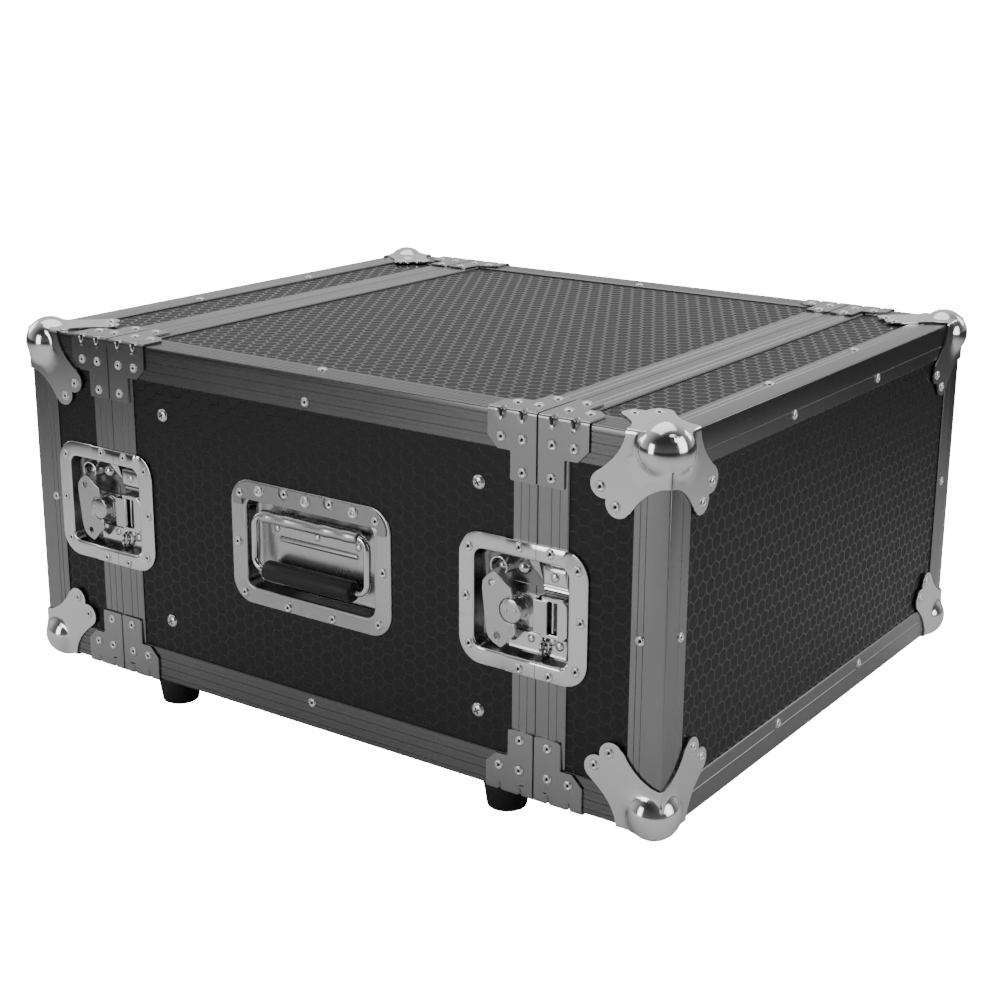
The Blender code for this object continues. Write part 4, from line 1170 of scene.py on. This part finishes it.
def spindleFrame(side, knob):
    tilt = math.radians(latchDetail["tilt"])
    out, up = Vector((0, math.cos(tilt), math.sin(tilt))), Vector((0, -math.sin(tilt), math.cos(tilt)))
    place = Matrix((out, up, Vector((-side, 0, 0)))).transposed().to_4x4()
    place.translation = Vector((side * halfWidth, knob.y, knob.z))
    return place


def pinFrame(place):
    out, up, inward = (place.col[i].to_3d() for i in range(3))
    pin = Matrix((inward, out, up)).transposed().to_4x4()
    pin.translation = place @ Vector((0, 0, 2.6 * mm))
    return pin


def buildSpindle(label, side, knob):
    place = spindleFrame(side, knob)
    section = [(0, 0), (8.5, 0), (9.1, 0.2), (9.4, 0.6), (9.4, 1.1), (9.1, 1.5), (8.4, 1.7)]
    for groove in (2.4, 4.1, 5.8):
        section += [(8.4, groove), (7.4, groove + 0.25), (7.4, groove + 0.65), (8.4, groove + 0.9)]
    section += [(8.4, 7.2), (10.4, 7.3), (10.6, 7.6), (10.6, 8.4), (10.3, 8.6), (11.6, 8.7), (11.8, 9.0),
                (11.8, 9.6), (11.5, 9.85), (5, 9.85), (5, 11.7), (0, 11.7)]
    parts = [turned(inMm(section), place, 32)]
    for across in (-3.9, 3.9):
        dimple = place @ Matrix.Translation((across * mm, 0, 0))
        parts.append(turned(inMm([(0, -0.55), (0.8, -0.48), (1.4, -0.25), (1.7, 0.1), (0, 0.1)]), dimple, 12))
    parts.append(turned(inMm([(0, -13.2), (0.9, -13.2), (1.1, -12.9), (1.1, 12.9), (0.9, 13.2), (0, 13.2)]),
                        pinFrame(place), 10))
    node = label + "_spindle"
    addPiece("knob_" + node, merged(parts), zinc, bodyOf(node), [node])


def buildWing(label, side, knob):
    look = latchDetail
    place = spindleFrame(side, knob)
    heel = math.degrees(math.acos(-2.5 / look["notch"]))
    upper = [(a * mm, b * mm) for a, b in look["wing"]]
    notch = []
    for i in range(17):
        turn = math.radians(heel - 2 * heel * i / 16)
        notch.append((look["notch"] * mm * math.cos(turn), look["notch"] * mm * math.sin(turn)))
    outline = upper + notch + [(a, -b) for a, b in reversed(upper)]
    heights = (look["wingTop"] * mm, (look["wingTop"] + look["wingWall"]) * mm)
    plate = closedMesh(skin([[place @ Vector((a, b, height)) for a, b in outline] for height in heights]))
    cutters = []
    for way in (1, -1):
        hole = place @ Matrix.Translation((14.6 * mm, way * 20.6 * mm, 0))
        cutters.append(skin([circle(hole, 3 * mm, z * mm, 16) for z in (-1, 4)]))
    parts = [softened(cutMesh(plate, cutters), 0.32 * mm)]
    pin = pinFrame(place)
    for way in (1, -1):
        ends = [way * end for end in (10.6, 10.9, 13.8, 14.1)]
        section = [(1.5, ends[0]), (2.1, ends[0]), (2.3, ends[1]), (2.3, ends[2]), (2.1, ends[3]), (1.5, ends[3])]
        loops = [circle(pin, radius * mm, height * mm, 12) for radius, height in section]
        parts.append(creased(closedMesh(skin(loops, ring=True)), 42))
    node = label + "_wing"
    addPiece("butterfly_" + node, merged(parts), satin, bodyOf(node), [node])


def buildHook(label, side, split, knob):
    tail = knob.y + 15 * mm
    bend, tip = split + 5.2 * mm, split - 7.3 * mm
    outline = [(tail, 9.9), (bend + 1.0 * mm, 9.9), (bend, 8.9), (bend, 3.4), (bend - 0.9 * mm, 2.5),
               (tip, 2.5), (tip, 4), (bend - 1.9 * mm, 4), (bend - 1.5 * mm, 4.4), (bend - 1.5 * mm, 10.4),
               (bend - 0.5 * mm, 11.4), (tail, 11.4)]
    half = 12.8 * mm
    loops = [[sidePoint(side, depth * mm, y, knob.z + z) for y, depth in outline] for z in (-half, half)]
    node = label + "_hook"
    addPiece("claw_" + node, softened(closedMesh(skin(loops)), 0.3 * mm), nickel, bodyOf(node), [node])


def slabWith(side, split, knob, us, vs, depths, soft=0.4):
    shape = sideBlock(side, [d * mm for d in depths], [split + u * mm for u in us], [knob.z + v * mm for v in vs])
    return softened(closedMesh(shape), soft * mm)


def buildLatch(place, name):
    side, split = sides[name], splits[place]
    label = f"{place}_{name}_latch"
    knob = jointAt[label + "_turn"]
    middle = caseMiddle + latchLook["rise"]

    def at(u, v, depth):
        return sidePoint(side, depth * mm, split + u * mm, knob.z + v * mm)
    inward = Vector((-side, 0, 0))

    node = label + "_dish"
    parts = [latchSheet(side, split, middle, 1)]
    parts.append(slabWith(side, split, knob, (40, 54.2), (-23, 16), (10.1, 12.1)))
    parts.append(slabWith(side, split, knob, (0.8, 31), (-32, -17), (10, 12.1)))
    # a thin plate on the dish floor, in the painted shade finish
    parts.append((slabWith(side, split, knob, (8, 52), (-23, 20), (11.5, 12.1), 0.1), 1))
    curl = []
    for i in range(15):  # a curled spring seat above the wing
        turn = math.radians(-35 + 250 * i / 14)
        curl.append([at(36 + r * math.cos(turn), 31.5 + r * math.sin(turn), depth)
                     for r, depth in ((8, 3.2), (8, 12.1), (6.6, 12.1), (6.6, 3.2))])
    parts.append(softened(closedMesh(skin(curl)), 0.35 * mm))
    dome = facingFrame(at(35.5, 31, 0), inward)
    parts.append(turned(inMm([(0, 6.2), (1.6, 6.5), (2.9, 7.4), (3.6, 8.8), (3.9, 12.1), (0, 12.1)]), dome, 16))
    dome = facingFrame(at(17, 33, 0), inward)
    parts.append(turned(inMm([(0, 5.4), (2.4, 5.8), (4.3, 7), (5.5, 9), (6, 12.1), (0, 12.1)]), dome, 20))
    wedge = [(9.5, 42, 3.5), (0.8, 42, 3.5), (0.8, 27, 9.5), (3.5, 27, 9.5)]
    loops = [[at(u, v, depth) for u, v, depth in wedge], [at(u, v, 12.1) for u, v, depth in wedge]]
    parts.append(softened(closedMesh(skin(loops)), 0.3 * mm))
    addPiece("recess_" + node, merged(parts), [brightNickel, paintedShadeNickel], bodyOf(node), [node])
    rivet(bodyOf(node), at(10.7, -21.5, 10), -inward, "domed", 0.8)
    for u, v in latchDetail["rivets"]:
        target = bodyOf(node if u > 0 else label + "_keeper")
        lower = latchDetail["step"] if u > 28 or u < -28 else 0
        rivet(target, at(u, v, lower - 1.45), -inward)

    node = label + "_keeper"
    parts = [latchSheet(side, split, middle, -1)]
    flat = [(-1.8, -16), (-1.8, 16), (-19.8, 16), (-23.8, 12), (-23.8, -12), (-19.8, -16)]
    loops = [[at(u + (0.5 if depth < 12 and u > -2 else 0), v, depth) for u, v in flat] for depth in (4.3, 12.1)]
    strike = closedMesh(skin(loops))
    slot = sideBlock(side, (0, 11.6 * mm), (split - 15 * mm, split - 6.7 * mm),
                     (knob.z - 12.5 * mm, knob.z + 12.5 * mm))
    strike = softened(cutMesh(strike, [slot]), 0.7 * mm)
    # faces deep inside the strike's slot are painted darker as shade
    for polygon in strike.polygons:
        inSlot = split - 15.5 * mm < polygon.center.y < split - 6.2 * mm
        polygon.material_index = 1 if inSlot and halfWidth - abs(polygon.center.x) > 5.2 * mm else 0
    parts.append(strike)
    parts.append(slabWith(side, split, knob, (-9.5, -11), (-12, 12), (6, 12.1), 0.2))
    tab = [(-1.2, -22.4, 24.5, 38.8, 7.4), (-1.2, -22.4, 24.5, 38.8, 6.9),
           (-2.8, -20.8, 26.1, 37.6, 5.9)]
    loops = []
    for uHigh, uLow, vLow, vHigh, depth in (((-1.2, -22.4, 24.5, 38.8, 12.1),) + tuple(tab)):
        spots = ((uHigh, vLow), (uLow, vLow), (uLow, vHigh), (uHigh, vHigh))
        loops.append([at(u, v, depth) for u, v in spots])
    parts.append(softened(closedMesh(skin(loops)), 0.25 * mm, 1, 30))
    fold = [(18.8, 9.6), (20.3, 8.2), (21.6, 8.6), (23, 7.4), (24.4, 7.6), (24.4, 12.1), (18.8, 12.1)]
    loops = [[at(u, v, depth) for v, depth in fold] for u in (-1.4, -22.2)]
    parts.append(creased(closedMesh(skin(loops)), 24))
    parts.append(slabWith(side, split, knob, (-0.9, -20.8), (-32.3, -17), (9.6, 12.1), 0.6))
    eye = []
    for i in range(20):  # the padlock eye stands up beside the joint
        turn = math.tau * i / 20
        middleSpot = Vector((math.cos(turn) * 3.6, math.sin(turn) * 6.2))
        out = Vector((math.cos(turn), math.sin(turn) * 0.8)).normalized()
        eye.append([
            at(-2.6 + 1.5 * math.sin(bend), -26 + middleSpot.y + out.y * 1.6 * math.cos(bend),
               6.4 + middleSpot.x + out.x * 1.6 * math.cos(bend))
            for bend in [math.tau * j / 8 for j in range(8)]
        ])
    parts.append(creased(closedMesh(skin(eye, ring=True)), 60))
    addPiece("catch_" + node, merged(parts), [brightNickel, paintedShadeNickel], bodyOf(node), [node])
    rivet(bodyOf(node), at(-11.9, 31.6, 5.9), -inward, "domed", 0.95)
    rivet(bodyOf(node), at(-14.6, -22, 9.6), -inward, "domed", 0.95)
    rivet(bodyOf(node), at(-8.2, -19.6, 9.6), -inward, "domed", 0.8)

    buildSpindle(label, side, knob)
    buildWing(label, side, knob)
    buildHook(label, side, split, knob)


for latchPlace in splits:
    for latchName in sides:
        buildLatch(latchPlace, latchName)
print("latches ready")


handleLook = {
    "length": 165.7 * mm, "height": 105.5 * mm, "drop": 0.5 * mm, "corner": 20 * mm,
    "windowLength": 132.8 * mm, "windowHeight": 75.7 * mm, "windowDrop": 1.0 * mm, "windowCorner": 9 * mm,
    "bailSpan": 117.4 * mm, "bailDrop": 45.2 * mm, "bailCorner": 9 * mm, "wire": 3 * mm,
    "gripRadius": 8.3 * mm, "gripLength": 91 * mm, "rollLength": 100 * mm,
    "crimps": (45, 24, -17, -39), "eyelets": (50.7, 1.7, -47.3), "notches": (24.7, -22.3),
    "rivets": ((76.4, -2), (-75.3, 1), (70.7, -45), (23.7, -49), (-23.3, -48.5), (-70.3, -43)),
}
handleProfile = (
    ("flange", 0, 1.25), ("flange", 0, 0.8), ("flange", -0.25, 0.45), ("flange", -0.7, 0.3),
    ("window", 3.4, 0.3), ("window", 2.7, -0.05), ("window", 1.9, -0.25), ("window", 1.1, -0.1),
    ("window", 0.4, 0.5), ("window", 0, 1.6), ("window", -2.2, 9.8), ("window", -3.2, 11.2),
    ("window", -5, 11.9), ("window", -7, 12),
)


def wireLoop(path, normal, radius, steps=12):
    loops = []
    count = len(path)
    for i, spot in enumerate(path):
        along = (path[(i + 1) % count] - path[i - 1]).normalized()
        across = along.cross(normal).normalized()
        loops.append([
            spot + (across * math.cos(math.tau * j / steps) + normal * math.sin(math.tau * j / steps)) * radius
            for j in range(steps)
        ])
    return closedMesh(skin(loops, ring=True))


def buildHandle(name):
    look = handleLook
    side = sides[name]
    pivot = jointAt[name + "_handle_lift"]
    inward = Vector((-side, 0, 0))

    def at(across, rise, depth):
        return sidePoint(side, depth * mm, bodyMiddle + across * mm, caseMiddle + rise * mm)

    node = name + "_handle_dish"
    body = bodyOf(node)
    middle, windowMiddle = caseMiddle - look["drop"], caseMiddle - look["windowDrop"]
    flange = (bodyMiddle - look["length"] / 2, bodyMiddle + look["length"] / 2,
              middle - look["height"] / 2, middle + look["height"] / 2)
    window = (bodyMiddle - look["windowLength"] / 2, bodyMiddle + look["windowLength"] / 2,
              windowMiddle - look["windowHeight"] / 2, windowMiddle + look["windowHeight"] / 2)
    shape = dishSheet(side, flange, window, (look["corner"], look["windowCorner"]), handleProfile)
    sheet = thickened(sheetMesh(shape, lambda spot: Vector((side, 0, 0))), 0.9 * mm)
    # the handle dish's walls are painted darker as shade
    parts = [paintedShadeFaces(sheet, 1.0, 11.3)]
    loops = []
    for grow, depth in ((2.6, 12.05), (2.2, 11.3), (1.4, 10.7), (0.5, 10.4)):  # rib pressed in the floor
        outline = roundedRect(-39.3 - grow, 38.7 + grow, 4 - grow, 4.01 + grow, grow, 6)
        loops.append([at(a, b, depth) for a, b in outline])
    parts.append(creased(closedMesh(skin(loops)), 42))
    addPiece("recess_" + node, merged(parts), [satin, paintedShadeNickel], body, [node])
    for across, rise in look["rivets"]:
        rivet(body, at(across, rise, 0.3), -inward)

    arc = []  # stop plate along the top flange
    for i in range(9):
        turn = math.radians(10 + 80 * i / 8)
        arc.append((62.3 + 17.6 * math.cos(turn), 33.2 + 18.2 * math.sin(turn)))
    outline = [(-79.3, 31.6), (-78.3, 30.6), (-71.2, 30.6), (-70.2, 31.6), (-70.2, 35.4), (-69.4, 36.2),
               (69.4, 36.2), (70.2, 35.4), (70.2, 31.6), (71.2, 30.6), (78.3, 30.6), (79.3, 31.6)]
    outline += arc + [(-a, b) for a, b in reversed(arc)]
    loops = [[at(a, b, depth) for a, b in outline] for depth in (-1.1, 0.3)]
    plate = closedMesh(skin(loops))
    cutters = []
    for across in look["notches"]:
        hole = facingFrame(at(across, 47.4, 0), inward)
        cutters.append(skin([circle(hole, 5.4 * mm, z * mm, 20) for z in (-3, 0.31)]))
    plate = softened(cutMesh(plate, cutters), 0.25 * mm)
    addPiece(name + "_handle_stop_plate", plate, satinDark, body, ())
    for across in look["eyelets"]:
        rivet(body, at(across, 45, -1.0), -inward, "tubular", 1.32)
        rivet(body, at(across, 45, -0.9), -inward, "domed", 0.66)
    for across in look["notches"]:
        rivet(body, at(across, 46.8, 0.3), -inward)
    for across, rise in ((71.7, 40.5), (-69.5, 42.2)):
        rivet(body, at(across, rise, -1.0), -inward)

    node = name + "_handle_hinge_strap"
    pivotRise = (pivot.z - caseMiddle) / mm
    pivotDepth = (halfWidth - abs(pivot.x)) / mm
    half = look["rollLength"] / mm / 2
    spots = sorted({-half, half, *(c + o for c in look["crimps"] for o in (-5, -4.2, -3, -1.5, 0, 1.5, 3, 4.2, 5))})
    loops = []
    for across in spots:
        swell = max((math.cos(math.pi / 10 * (across - c)) ** 0.7 if abs(across - c) < 5 else 0)
                    for c in look["crimps"])
        outer, inner = 5.2 + 0.4 * swell, 3.5
        profile = []
        for i in range(19):
            turn = math.radians(-50 + 290 * i / 18)
            profile.append((pivotDepth + outer * math.cos(turn), pivotRise + outer * math.sin(turn)))
        for i in range(17):
            turn = math.radians(240 - 275 * i / 16)
            profile.append((pivotDepth + inner * math.cos(turn), pivotRise + inner * math.sin(turn)))
        front, back, foot = 10.8, 11.7, pivotRise - 16.8
        profile += [(front, pivotRise - 7.5), (front, foot), (back, foot), (back, pivotRise - 6.5)]
        loops.append([at(across, rise, depth) for depth, rise in profile])
    strap = closedMesh(skin(loops))
    addPiece("roll_" + node, strap, satin, bodyOf(node), [node], angle=40)
    for across in (-41.8, 0, 41.8):
        rivet(bodyOf(node), at(across * 1.02, pivotRise - 11.7, 10.8), -inward, "domed", 0.8)

    node = name + "_handle_bail"
    halfSpan = look["bailSpan"] / mm / 2
    drop = look["bailDrop"] / mm
    lean = -1.0 / drop  # the bottom bar hangs a little nearer the face
    outline = roundedRect(-halfSpan, halfSpan, -drop, 0, look["bailCorner"] / mm, 6)
    path = [at(a, pivotRise + b, pivotDepth - lean * b) for a, b in outline]
    normal = (Vector((side, 0, 0)) + Vector((0, 0, lean))).normalized()
    addPiece("wire_" + node, wireLoop(path, normal, look["wire"]), polished, bodyOf(node), [node],
             angle=60)

    node = name + "_handle_grip"
    r, h = look["gripRadius"] / mm, look["gripLength"] / mm / 2
    section = [(3.1, -h), (r - 1.3, -h), (r - 0.5, -h + 0.3), (r, -h + 1.2), (r, -h * 0.5), (r * 1.01, 0),
               (r, h * 0.5), (r, h - 1.2), (r - 0.5, h - 0.3), (r - 1.3, h), (3.1, h)]
    turn = Matrix.Rotation(math.radians(-90), 4, "X")
    turn.translation = at(0, pivotRise - drop, pivotDepth + lean * drop)
    loops = [circle(turn, radius * mm, along * mm, 28) for radius, along in section]
    addPiece("sleeve_" + node, closedMesh(skin(loops, ring=True)), rubber, bodyOf(node), [node],
             angle=60)


for handleName in sides:
    buildHandle(handleName)
print("handles ready")


footLook = {"bore": 5.0, "boreDepth": 12, "toe": 15.6, "waist": 18.4, "rim": 19.7, "sides": 36}  # mm


def buildFeet():
    bore, deep, toe, waist, rim = (footLook[key] for key in ("bore", "boreDepth", "toe", "waist", "rim"))
    for place in splits:
        for name in sides:
            node = f"foot_{place}_{name}"
            low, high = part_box(node)
            centre = (low + high) / 2
            height = (high.z - low.z) / mm
            section = [
                (0, deep), (bore - 0.4, deep), (bore, deep - 0.4), (bore, 0.8), (bore + 0.6, 0.1), (toe - 1, 0),
                (toe, 0.6), (toe + 0.3, 1.8), (waist, height - 6.4), (waist + 0.5, height - 5.2),
                (rim, height - 3.6), (rim, height - 1.4), (rim - 0.5, height), (0, height),
            ]
            turn = Matrix.Translation((centre.x, centre.y, low.z))
            addPiece("rubber_" + node, turned(inMm(section), turn, footLook["sides"]), rubber, bodyOf(node),
                     [node], angle=45)


boltSpots = ((-165.1, 89.5), (-165.1, -90.5), (158.7, 91.5), (158.7, -90.7))  # mm from the body's middle


def panelBolts():
    for side in sides.values():
        for y, z in boltSpots:
            sideRivet("case_body", side, bodyMiddle + y * mm, caseMiddle + z * mm, 1.5 * mm, "bolt", 1.45)


buildFeet()
panelBolts()
print("feet and bolts ready")

setOutRivets()
